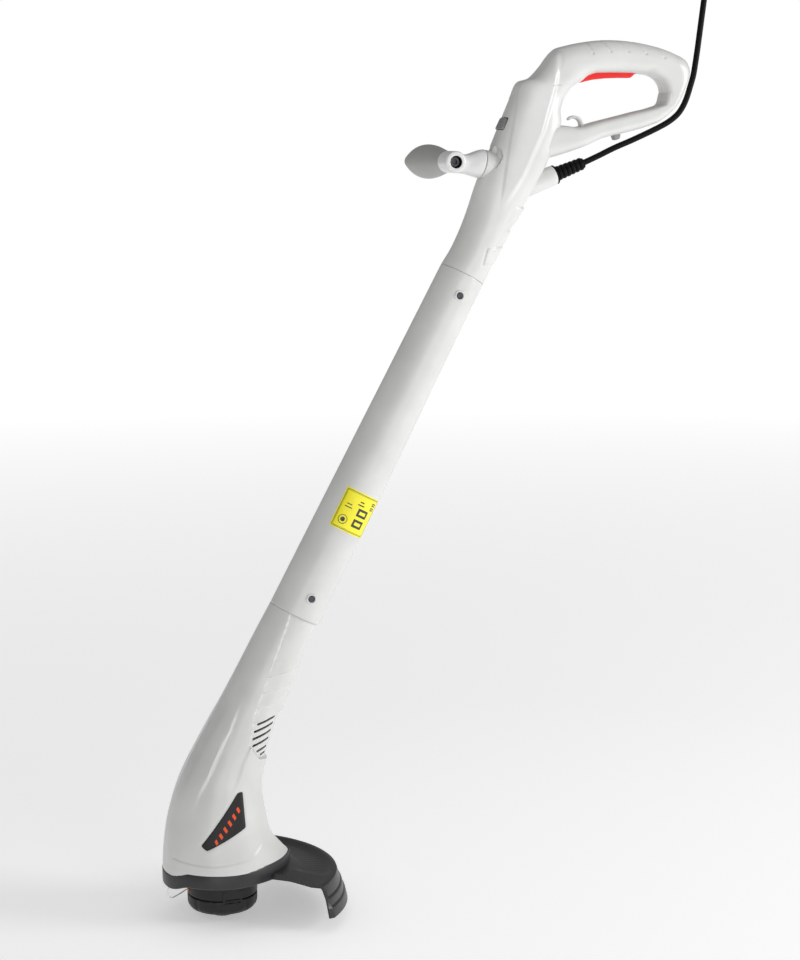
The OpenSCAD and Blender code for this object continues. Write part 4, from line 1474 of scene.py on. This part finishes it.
@dataclass
class FrontHandle:
    """The swivelling arm, its collar and the bulb grip."""

    eye_up: float = -5.0
    eye_out: float = 34.2
    eye_r: float = 11.8
    eye_half: float = 15.0
    collar_r: float = 15.9
    grip_length: float = 130.0

    def eye(self) -> Stand:
        """The eye's own place, whose Z runs along the collar's axis."""
        at = COLLAR.put(np.array([self.eye_up, 0.0, self.eye_out]))
        return Stand(tuple(at), COLLAR.lean)

    def spun(self, profile: Array, sides: int) -> Solid:
        """A profile of radius and distance along +Y, turned about the eye's cross axis."""
        ring = revolve(profile, sides)
        return tube(self.eye().put(np.stack([ring[..., 0], ring[..., 2], -ring[..., 1]], -1)))

    def turned(self, profile: list, radius: float, sides: int = 72) -> Solid:
        """The same with the profile's corners rounded."""
        return self.spun(rounded(profile, radius, closed=False, steps=5), sides)

    def arm(self) -> None:
        """The arm: sections that change from the collar's circle to the eye's flat oval."""
        t = np.linspace(0, 1, 60)[:, None]
        a = np.linspace(0, 2 * pi, 72, endpoint=False)[None]
        blend = ease(t, 0.0, 0.85)
        half_x = self.collar_r * (1 - blend) + (self.eye_r - 1.3) * blend
        half_y = self.collar_r * (1 - blend) + (self.eye_half - 3.4) * blend
        square = 2.0 + 1.6 * blend
        c, s = np.cos(a), np.sin(a)
        r = (np.abs(c) ** square + np.abs(s) ** square) ** (-1 / square)
        z = 0.5 + (self.eye_out - 8.4) * t
        x = self.eye_up * ease(t, 0.0, 1.0) + half_x * c * r
        lip = 1 - 0.03 * (1 - ease(t, 0.0, 0.03))
        grid = np.stack([x * lip, half_y * s * r * lip, z + 0 * a], -1)
        b = self.eye_half
        rim = [[0, -5], [6.7, -5], [6.7, -b + 0.6], [7.3, -b], [9.6, -b], [11.2, -b + 0.7],
               [self.eye_r, -b + 2.2], [self.eye_r, b - 1.5], [self.eye_r - 0.8, b], [0, b]]
        make_piece(
            "front_handle_arm", "aux_handle", Shade.arm, tube(COLLAR.put(grid)),
            self.turned(rim, 0.5), stands_for=("aux_arm",),
        )
        # A thin black lining of the eye's recess: painted shade inside the hole.
        shade_lining = [[0, -6.2], [5.4, -6.2], [6.2, -6.8], [6.5, -b + 1.0], [6.9, -b + 1.0]]
        shade_lining += [[6.9, -4.6], [0, -4.6]]
        make_piece("eye_recess_painted_shade", "aux_handle", Shade.black, self.turned(shade_lining, 0.2, 48))

    def socket(self) -> None:
        """The fixed collar under the arm: a short round neck with a rounded mouth."""
        profile = [[9.2, -0.3], [15.0, -0.3], [self.collar_r, -1.0], [16.2, -16], [9.2, -16]]
        ring = revolve(rounded(profile, 0.7), 72)
        make_piece(
            "swivel_collar", "frame", Shade.housing, tube(COLLAR.put(ring), loop=True),
            stands_for=("swivel_socket",),
        )

    def grip(self) -> None:
        """The bulb grip: a smooth profile turned about the cross axis, flattened at its tip."""
        n, b = self.grip_length, self.eye_half + 0.1
        knots = [[11.4, 0.0], [12.3, 0.06], [15.0, 0.2], [18.0, 0.36], [19.0, 0.47], [18.7, 0.56],
                 [16.8, 0.67], [13.8, 0.78], [11.0, 0.87], [8.7, 0.94], [7.6, 0.972]]
        curve = smooth_path([[r, 0, b + h * n] for r, h in knots], 80)[:, [0, 2]]
        cap = np.array([[7.1, b + 0.985 * n], [6.3, b + 0.994 * n], [5.0, b + 0.9985 * n],
                        [3.0, b + n], [0, b + n]])
        flange = np.array([[0, b], [10.9, b], [11.3, b + 0.4]])
        bulb = self.spun(np.concatenate([flange, curve[1:], cap]), 84)
        make_piece("front_grip", "aux_handle", Shade.grip, bulb, stands_for=("aux_grip",))

    def build(self) -> None:
        """Builds the arm, its collar and the grip."""
        self.arm()
        self.socket()
        self.grip()


@dataclass
class Shaft:
    """The leaning tube with its two screw seats and the yellow label."""

    flat_depth: float = 1.1
    label_low: float = 105.0

    def radius(self, s: Array) -> Array:
        """The tube's radius at a distance up from its foot, by straight taper."""
        return (SHAFT_FOOT_D + (SHAFT_TOP_D - SHAFT_FOOT_D) * s / SHAFT_LENGTH) / 2

    def surface(self, s: Array, a: Array, proud: float = 0.0) -> Array:
        """Points at distances s and angles a.

        The radius loses a flat near the foot on the near rear side, as a cosine hollow.

        Args:
            s: distances up the tube.
            a: angles, 0 toward the rear.
            proud: how far out.

        Returns:
            The grid.
        """
        flat = self.flat_depth * (1 - ease(s, 0, 150)) * np.exp(-(((np.abs(a) - 0.75) / 0.4) ** 2))
        r = self.radius(s) - flat + proud
        return SHAFT.put(np.stack([r * np.cos(a), r * np.sin(a), s + 0 * a], -1))

    def tube_piece(self) -> None:
        """The tube with a thin rolled lip at each end."""
        s = np.r_[0.0, 0.35, 0.9, np.linspace(3, SHAFT_LENGTH - 3, 90), SHAFT_LENGTH - 0.9,
                  SHAFT_LENGTH - 0.35, SHAFT_LENGTH][:, None]
        a = np.linspace(-pi, pi, 128, endpoint=False)[None]
        end = np.minimum(s, SHAFT_LENGTH - s)
        lip = -0.35 * (1 - ease(end, 0, 0.7))
        outer = self.surface(s, a) + 0
        axis = SHAFT.put(np.stack([0 * s + 0 * a, 0 * s + 0 * a, s + 0 * a], -1))
        outer = outer + unit(outer - axis) * lip[..., None]
        inner = axis + unit(outer - axis) * (self.radius(s) - 2.2)[..., None]
        ring = np.concatenate([outer, inner[::-1]])
        shell = make_piece(
            "shaft_tube_shell", "frame", Shade.housing, tube(ring, loop=True),
            stands_for=("shaft_tube",),
        )
        hole = revolve(np.array([[0.01, 20], [4.6, 20], [4.6, 34], [0.01, 34]]), 32)
        holes = [
            tube(SHAFT.put(np.stack([hole[..., 0], -hole[..., 2], hole[..., 1] + height], -1)))
            for height in (SCREW_INSET, SHAFT_LENGTH - SCREW_INSET)
        ]
        carve(shell, *holes)

    def seats(self) -> None:
        """A raised ring round each joint screw, and the screw's sunk head with a round socket."""
        for name, s in (("lower", SCREW_INSET), ("upper", SHAFT_LENGTH - SCREW_INSET)):
            r = float(self.radius(np.array(s)))
            ring = [[6.0, -1.4], [5.9, 0.35], [5.3, 0.9], [4.5, 0.95], [3.9, 0.45], [3.7, -2.0]]
            head = [[0, -1.5], [1.5, -1.5], [1.55, -0.2], [2.2, 0.15], [3.0, -0.1], [3.5, -0.9],
                    [3.5, -2.4], [0, -2.4]]

            def face(profile: list, sides: int, closed: bool) -> Solid:
                """A turned ring that faces the near side at the seat.

                Args:
                    profile: rows of radius and height.
                    sides: points in each ring.
                    closed: whether the profile is a loop.

                Returns:
                    The ring.
                """
                g = revolve(rounded(profile, 0.25, closed=closed, steps=3), sides)
                g = np.stack([g[..., 0], -r - g[..., 2] + 0.15, g[..., 1] + s], -1)
                return tube(SHAFT.put(g), loop=closed)

            make_piece(f"screw_seat_{name}", "frame", Shade.housing, face(ring, 40, True))
            make_piece(f"screw_head_{name}", "frame", Shade.dark_steel, face(head, 6 * 6, False))

    def label(self) -> None:
        """The label: a thin sheet wrapped on the tube, with its own flat map."""
        middle = radians(-80.0)
        s = np.linspace(self.label_low, self.label_low + LABEL_LENGTH, 30)[:, None]
        spread = LABEL_WIDTH / self.radius(s)
        share = np.linspace(0, 1, 40)[None]
        a = middle + (share - 0.5) * spread
        grid = self.surface(s + 0 * a, a, 0.28)
        points, faces = wall(grid, 0.25)
        up = (s - self.label_low) / LABEL_LENGTH
        flat = np.stack([share + 0 * s, up + 0 * share], -1).reshape(-1, 2)
        make_piece(
            "tube_label", "frame", Shade.label, (points, faces), stands_for=("noise_label",),
            uv=np.concatenate([flat, flat]),
        )

    def build(self) -> None:
        """Builds the tube, its screw seats and its label."""
        self.tube_piece()
        self.seats()
        self.label()


@dataclass
class MotorHousing:
    """The bell over the motor: a ridge, a ribbed and slotted rear panel, a badge and a flange."""

    thickness: float = 2.4
    sections: int = 330
    round_points: int = 92
    bell: list = field(
        default_factory=lambda: [
            [-65, 0, 75, 0, 0.464, 64, 2, 1.6], [-65, 6, 76, 6, 0.461, 63.8, 2, 1.6],
            [-64.5, 16, 68, 16, 0.49, 62.5, 2, 1.7], [-63, 33, 56, 31, 0.53, 59.5, 2, 1.9],
            [-58.5, 60, 48, 60, 0.55, 55, 2, 2], [-50.5, 86.5, 44.5, 86, 0.53, 50, 2, 2],
            [-39, 112.5, 46.5, 109, 0.5, 45, 2, 2], [-25.5, 138, 54, 131, 0.5, 41, 2, 2],
            [-4, 176, 65.5, 164, 0.5, 36.5, 2, 2], [17.5, 214.5, 78, 192, 0.5, 33, 2, 2],
            [38.5, 253, 93, 227, 0.5, 30.8, 2, 2], seam_row((85, 0, 275), SHAFT_FOOT_D),
        ]
    )
    ridge: tuple = (
        (17.3, 190.1), (3.7, 159.2), (-9.8, 135.0), (-23.3, 108.5), (-32.3, 92.8), (-40.2, 74.6),
        (-43.7, 62.7),
    )
    panel: tuple = (
        (73.7, 281.5), (58.9, 244.1), (41.9, 201.2), (30.5, 174.4), (23.5, 141.7), (34.4, 125.3),
        (60, 119),
    )
    step: tuple = ((24, 141), (14.5, 123), (8.5, 107), (1, 94))
    ledge: tuple = ((-64, 20), (-42.6, 17.5), (-20.9, 16.2), (18.7, 20.9), (33, 32), (39, 48))
    ribs: tuple = (215.5, 200.0, 185.2, 170.6)
    rib_pitch: float = 14.8
    slots: tuple = (
        (33, 54, 163), (29, 51.5, 155.3), (27, 49, 147.5), (27, 46, 140), (32, 43.5, 133),
        (36.5, 42, 128),
    )
    slot_slope: float = 0.26
    screws: tuple = (
        (-52, 27), (49, 26), (40, 68), (-44, 66), (14, 128), (46, 172), (64, 208), (82, 240),
    )
    screw_floor: float = 17.5
    badge: tuple = ((7, 93), (13, 94), (14.5, 56), (-28.5, 33.5), (-34, 38.5))

    def rows(self, count: int) -> Array:
        """That many sections, smoothly joined."""
        return smooth_rows(np.array(self.bell, float), count)

    def relief_map(self, grid: Array) -> Array:
        """How far each point of the bell stands proud.

        A ridge runs down the front of each flank: a slow rise from the front and a quick fall
        behind. Behind the panel line the wall steps in, with four lapped ribs whose height grows
        down to each rib's edge, as a saw tooth. A low ledge rings the foot, and the badge lies in a
        shallow bed.

        Args:
            grid: the plain points, about the head's centre.

        Returns:
            Offsets along the normals.
        """
        x, y, z = grid[..., 0], grid[..., 1], grid[..., 2]
        flank = ease(np.abs(y), 10, 22)
        d, share = from_line(x, z, self.ridge)
        body = ease(d, -24, 0) * (1 - ease(d, 0, 1.9)) * ease(share, 0, 0.16) * ease(z, 60, 112)
        offset = 2.3 * body * flank
        p = from_line(x, z, self.panel)[0]
        inside = ease(p, -0.5, 0.6) * ease(z, 117, 121)
        offset = offset - 2.4 * inside
        level = z - 0.16 * (x - 60)
        lap = np.zeros_like(x)
        for foot in self.ribs:
            rise = 1 - (level - foot) / self.rib_pitch
            on = (level > foot - 0.5) & (rise > 0)
            lap = np.maximum(lap, np.where(on, rise * ease(level, foot - 0.5, foot + 0.4), 0))
        offset = offset + 2.6 * lap * ease(p, -0.3, 0.6)
        step = from_line(x, z, self.step)[0]
        offset = offset + 1.4 * ease(step, -0.8, 0.9) * ease(z, 92, 112) * (1 - inside) * flank
        ledge = ease(-from_line(x, z, self.ledge)[0], -0.5, 0.5) * ease(-z, -50, -30)
        offset = offset + 0.7 * ledge * ease(np.abs(y), 18, 30)
        bed = convex_depth(x, z, self.badge)
        offset = offset - 0.7 * ease(bed, -1.0, 0.0) * (y < 0)
        over = z - base_line(np.arctan2(y, x - BELL_CENTRE_X))
        return offset + parting(y) - 2.2 * (1 - ease(over, -0.3, 0.2))

    def halves(self) -> None:
        """Builds each half about the head's centre, then cuts its vent slots."""
        rows = self.rows(self.sections)
        rows[-1, :4] -= np.tile(seam_inset(), 2)
        cutters = []
        for x0, x1, z0 in self.slots:
            z1 = z0 + self.slot_slope * (x1 - x0)
            ends = [(x0, z0 - 1.35), (x1 + 2, z1 - 1.35), (x1 + 2, z1 + 1.35), (x0, z0 + 1.35)]
            cutters.append(tube(HEAD.put(across_y(plate(ends, 1.0, -60, 60, 0.1)))))
        for half, node in ((Half.LEFT, "motor_housing_left"), (Half.RIGHT, "motor_housing_right")):
            grid = loft(rows, half_turns(half, self.round_points))
            n = outward(grid)
            lifted = grid + n * self.relief_map(grid)[..., None]
            shell = make_piece(
                f"motor_bell_{node.rsplit('_', 1)[1]}", "frame", Shade.housing,
                wall(HEAD.put(lifted), self.thickness, n), stands_for=(node,),
            )
            if half is Half.RIGHT:
                holes, sleeves = screw_wells(self.screws, self.screw_floor, grid, HEAD)
                make_piece("bell_screw_wells", "frame", Shade.housing, *sleeves)
                cutters += holes
            carve(shell, *cutters)

    def near_face(self, x: Array, z: Array) -> Array:
        """The Y of the near flank, by the section's own formula.

        Args:
            x: places.
            z: heights.

        Returns:
            The Y at each.
        """
        rows = self.rows(400)
        height = (rows[:, 1] + rows[:, 3]) / 2
        at = [np.interp(z, height, rows[:, k]) for k in range(8)]
        depth = at[2] - at[0]
        widest = at[4] * depth
        u = x - at[0] - widest
        reach = np.where(u < 0, widest, depth - widest)
        n = np.where(u < 0, at[6], at[7])
        return -at[5] * (1 - np.clip(np.abs(u) / reach, 0, 0.999) ** n) ** (1 / n)

    def draped(self, outline: Array, proud: float, thick: float, radius: float) -> Solid:
        """A plate that follows the near flank: a grid from its middle out to its rounded rim.

        Args:
            outline: its plan.
            proud: how far it stands off the flank.
            thick: its thickness.
            radius: of its rim.

        Returns:
            The closed plate.
        """
        closed = np.concatenate([outline, outline[:1]])
        gone = np.r_[0, np.linalg.norm(np.diff(closed, axis=0), axis=1).cumsum()]
        even = np.union1d(gone[:-1], np.arange(0, gone[-1], 1.2))
        outline = np.stack([np.interp(even, gone, closed[:, k]) for k in (0, 1)], -1)
        middle = outline.mean(axis=0)
        t = np.r_[0.001, np.linspace(0.12, 1, 12)]
        flat = middle + (outline - middle)[None] * t[:, None, None]
        size = np.linalg.norm(outline - middle, axis=1).mean()
        drop = radius * ease(t * size, size - radius * 1.6, size + 0.2)
        top = self.near_face(flat[..., 0], flat[..., 1]) - proud + drop[:, None]
        face = np.stack([flat[..., 0], top, flat[..., 1]], -1)
        skirt = face[-1:] + np.array([0, thick, 0])
        return tube(HEAD.put(np.concatenate([face, skirt])))

    def badges(self) -> None:
        """The black badge in its bed, with a row of slanted orange bars."""
        plan = rounded(list(self.badge), 2.0, steps=8)
        make_piece(
            "flank_badge", "frame", Shade.black, self.draped(plan, 0.55, 1.6, 0.5),
            stands_for=("badge_plate",),
        )
        along = unit(np.array([31.2, 40.2]))
        across = np.array([-along[1], along[0]])
        bars = []
        for k, tall in zip(range(6), (4.2, 5.0, 5.6, 5.6, 5.4, 5.0)):
            centre = np.array([-18.5, 43.2]) + along * 8.2 * k
            plan = [
                centre + along * (side * 1.7 + lean * 1.1) + across * lean * tall / 2
                for side, lean in ((-1, -1), (1, -1), (1, 1), (-1, 1))
            ]
            bars.append(self.draped(rounded(plan, 0.5, steps=3), 0.85, 0.6, 0.15))
        make_piece("badge_bars", "frame", Shade.orange, *bars)

    def build(self) -> None:
        """Builds the halves and the badge."""
        self.halves()
        self.badges()


@dataclass
class Guard:
    """The black base ring, its deck and the stepped skirt."""

    near_angle: float = -44.0
    far_angle: float = 52.0
    rim_r: float = 127.0
    skirt_r: float = 138.0
    depth: float = 42.0
    rib: tuple = (
        (70, -8), (92, -14), (112, -16), (122, -15), (121, -11.2), (112, -12), (92, -10),
        (84, -7.8), (70, -5.5),
    )

    def base_ring(self) -> Solid:
        """The ring under the bell: its foot section drawn out a little, between two wavy lines.

        Returns:
            The ring.
        """
        foot = np.array([MotorHousing().bell[1]], float)
        a = np.linspace(0, 2 * pi, 160, endpoint=False)
        edge = loft(foot, a)[0]
        flat = edge * [1, 1, 0]
        out = unit(flat - np.array([BELL_CENTRE_X, 0, 0]))
        low = -8.5 - 8.0 * front_dip(a) - 1.5 * ease(np.cos(a), 0.3, 0.9)
        high = base_line(a)
        rings = [(-3.0, low + 0.3), (-0.6, low), (0.3, low + 1.0)]
        rings += [(0.6, high - 0.9), (0.1, high), (-3.4, high - 0.1)]
        grid = [flat + out * lift + np.stack([0 * z, 0 * z, z], -1) for lift, z in rings]
        return tube(HEAD.put(np.array(grid)), loop=True)

    def profile(self, dish: Array) -> Array:
        """The deck and skirt in section.

        Args:
            dish: how far the deck is sunk, from 0 to 1, for each section.

        Returns:
            The radius and height of each point: the top from the middle out, then the underside.
        """
        r, d, out = self.rim_r, self.depth, self.skirt_r
        top = [
            [58, -1, 0], [70, -1.6, 0], [80, -2.2, 0.2], [86, -3.4, 2.2], [92, -4.2, 3.4],
            [106, -5.6, 3.8], [113, -6.2, 3.4], [118, -6.2, 0.8], [121, -6.0, 0], [r - 3, -6.3, 0],
            [r - 0.8, -7.3, 0], [r, -9.2, 0], [r + 2.8, -19.4, 0], [r + 4.6, -20.6, 0],
            [r + 5.2, -22.2, 0], [r + 6.6, -29.2, 0], [r + 8.2, -30.4, 0], [r + 8.8, -32, 0],
            [out, -d + 0.8, 0], [out - 0.6, -d, 0], [out - 2.2, -d, 0], [out - 2.8, -d + 0.6, 0],
            [r + 5.0, -32, 0], [r + 2.0, -22, 0], [r - 2.4, -11.4, 0], [r - 4, -10, 0],
            [117, -10.4, 0.8], [112, -10.8, 2.6], [92, -8.8, 3.0], [84, -8.2, 1.4],
            [70, -8.8, 0], [58, -9.4, 0],
        ]
        p = np.array(top)
        height = p[None, :, 1] - p[None, :, 2] * dish[:, None]
        return np.stack([np.broadcast_to(p[None, :, 0], height.shape), height], -1)

    def fan(self) -> Solid:
        """The section carried round from the near to the far end, its dish fading at both.

        Returns:
            The deck with its skirt.
        """
        a = np.radians(np.linspace(self.near_angle, self.far_angle, 130))
        ends = np.degrees(np.minimum(a - a[0], a[-1] - a))
        dish = ease(np.degrees(a - a[0]), 14, 24) * ease(ends, 3, 8)
        p = self.profile(dish)
        r, h = p[..., 0], p[..., 1]
        corner = 3.0 * (1 - ease(ends, 0, 2.2))[:, None] * ease(r, 128, 139)
        ripple = (dish * np.cos(a * 90))[:, None] * ease(r, 90, 96) * (1 - ease(r, 108, 112))
        h = h + 0.2 * ripple * (h > -10)
        out = r - corner
        grid = np.stack([out * np.cos(a)[:, None], out * np.sin(a)[:, None], h], -1)
        return tube(HEAD.put(grid))

    def disc(self) -> Solid:
        """The floor of the base, with its hole for the motor shaft."""
        ring = revolve(rounded([[13, -3.4], [62.5, -3.4], [62.5, -0.6], [13, -0.6]], 0.4), 96)
        return tube(HEAD.put(ring), loop=True)

    def ribs(self) -> list[Solid]:
        """Seven straight ribs under the deck.

        Returns:
            The ribs.
        """
        upright = across_y(pillow(rounded(list(self.rib), 1.5), -0.9, 0.9, 0.3, 3))
        turns = np.linspace(self.near_angle + 20, self.far_angle - 12, 7)
        return [tube(Stand(HEAD.origin, 0, turn).put(upright)) for turn in turns]

    def build(self) -> None:
        """Builds the guard as one moulding."""
        make_piece(
            "line_guard", "frame", Shade.guard,
            self.fan(), self.base_ring(), self.disc(), *self.ribs(), stands_for=("guard",),
        )


@dataclass
class LineHead:
    """The spinning head: hub, latched cap, bump knob and the stub of line."""

    radius: float = 38.5
    top: float = -11.5
    split: float = -31.0
    bottom: float = -49.0
    line_d: float = 1.4
    line_route: tuple = (
        (-36, 0, -26), (-39.8, 0, -26), (-46, -4, -27.2), (-54, -12, -27.4), (-60.5, -20, -26),
        (-64.6, -25.5, -22.5), (-66.4, -28.5, -18), (-66.6, -29.2, -14), (-66.2, -29.6, -10.8),
    )

    def hub(self) -> None:
        """The hub's wall and disc, turned from one profile, with a fine groove at the split."""
        r = self.radius
        profile = [
            [4.1, -22], [4.1, -12], [9, -12], [10, -18.6], [r - 4, -18.6], [r - 3, self.top],
            [r - 0.8, self.top], [r, self.top - 1], [r, -29.2], [r - 0.7, -30.6], [r - 2.4, -30.6],
            [r - 2.4, -22],
        ]
        hub = tube(HEAD.put(revolve(rounded(profile, 0.8), 120)), loop=True)
        make_piece("head_hub_shell", "rotor", Shade.black, hub, stands_for=("head_hub",))

    def cap(self) -> None:
        """The cap, rounded at its foot, with shallow finger scallops and a rim round the knob."""
        r, b = self.radius, self.bottom
        profile = [
            [17.0, -38], [17.0, b + 1.0], [18.2, b], [21.5, b], [22.6, b + 1.2], [31, b + 0.8],
            [34.6, b + 2.0], [37.4, b + 5.4], [r - 0.2, b + 9], [r, -33], [r - 0.5, -31.4],
            [r - 2.6, -31.4], [r - 2.6, -40], [20, -42.4],
        ]
        ring = revolve(rounded(profile, 1.0), 144)
        ring = fluted(ring, 0.9 * (ring[..., 2] < -32.2), r - 6, r - 0.4, 0.55)
        make_piece(
            "head_cap_shell", "rotor", Shade.black,
            tube(HEAD.put(ring), loop=True), *self.latches(), stands_for=("head_cap",),
        )

    def latches(self) -> list[Solid]:
        """Two latch tabs: curved plates with two raised ribs, let into the hub's wall.

        Returns:
            The tabs and their ribs.
        """
        r = self.radius
        tab = [(-16.5, -36.6), (16.5, -36.6), (16.5, -20.4), (-16.5, -20.4)]
        flats = [pillow(rounded(tab, 1.6, steps=5), r - 2.0, r + 0.9, 0.6, 4)]
        for low in (-35.0, -31.6):
            rib = [(-13, low), (13, low), (13, low + 1.8), (-13, low + 1.8)]
            flats.append(plate(rib, 0.7, r, r + 1.7, 0.6))
        return [tube(HEAD.put(bent(flat, middle))) for middle in (-86.0, 94.0) for flat in flats]

    def knob(self) -> None:
        """The bump knob: a domed button with twelve shallow flutes."""
        profile = [
            [0, -57], [9, -57], [13, -56.2], [15.3, -54], [15.9, -51], [15.9, -41], [10, -40.6],
            [10, -29], [7, -29], [7, -39], [0, -39],
        ]
        ring = fluted(revolve(rounded(profile, 1.2, closed=False), 120), 0.7, 13.5, 15.6, 0.4)
        dome = tube(HEAD.put(ring))
        make_piece("ground_knob", "bump_knob", Shade.black, dome, stands_for=("bump_knob",))

    def line(self) -> None:
        """The stub of cutting line, curling up in front of the guard."""
        path = smooth_path(list(self.line_route), 90)
        r = np.full(len(path), self.line_d / 2)
        r[-1] *= 0.75
        strand = tube(HEAD.put(sweep(path, r, r, 12)))
        make_piece("trimmer_line", "rotor", Shade.nylon, strand, stands_for=("cutting_line",))

    def build(self) -> None:
        """Builds the head's parts."""
        self.hub()
        self.cap()
        self.knob()
        self.line()


@dataclass
class InnerWorks:
    """The frame's own nodes that stay as they are, and what each one wears."""

    by_slot: dict = field(
        default_factory=lambda: {
            "housing_plastic": Shade.housing, "arm_plastic": Shade.arm, "grip_plastic": Shade.grip,
            "trigger_plastic": Shade.trigger, "black_plastic": Shade.black,
            "inner_plastic": Shade.inner, "fan_plastic": Shade.natural,
            "button_plastic": Shade.pocket, "cord_rubber": Shade.rubber, "steel": Shade.steel,
            "dark_steel": Shade.dark_steel, "plated_brass": Shade.pins,
            "copper": Shade.copper, "laminated_steel": Shade.stack, "carbon": Shade.carbon,
            "capacitor_case": Shade.potting, "lead_insulation": Shade.lead,
            "label_film": Shade.label, "nylon_line": Shade.nylon,
        }
    )
    wound: tuple = ("field_coils", "armature_windings")

    def build(self) -> None:
        """Gives every node its finish by its slot in the record."""
        for part in frame["record"]["subparts"]:
            finish = self.by_slot[part["material_slot"]]
            if part["node"] in self.wound:
                finish = Shade.wire
            node = frame["nodes"][part["node"]]
            node.data.materials.clear()
            node.data.materials.append(finish.material())


def main() -> None:
    """Builds the sub-assemblies in order."""
    logging.basicConfig(level=logging.INFO, format="%(name)s %(message)s")
    for assembly in (
        Studio(), MainsCord(), LoopHandle(), Trigger(), FrontHandle(),
        Shaft(), MotorHousing(), Guard(), LineHead(), InnerWorks(),
    ):
        assembly.build()
        log.info("built %s", type(assembly).__name__)


if __name__ == "__main__":
    main()
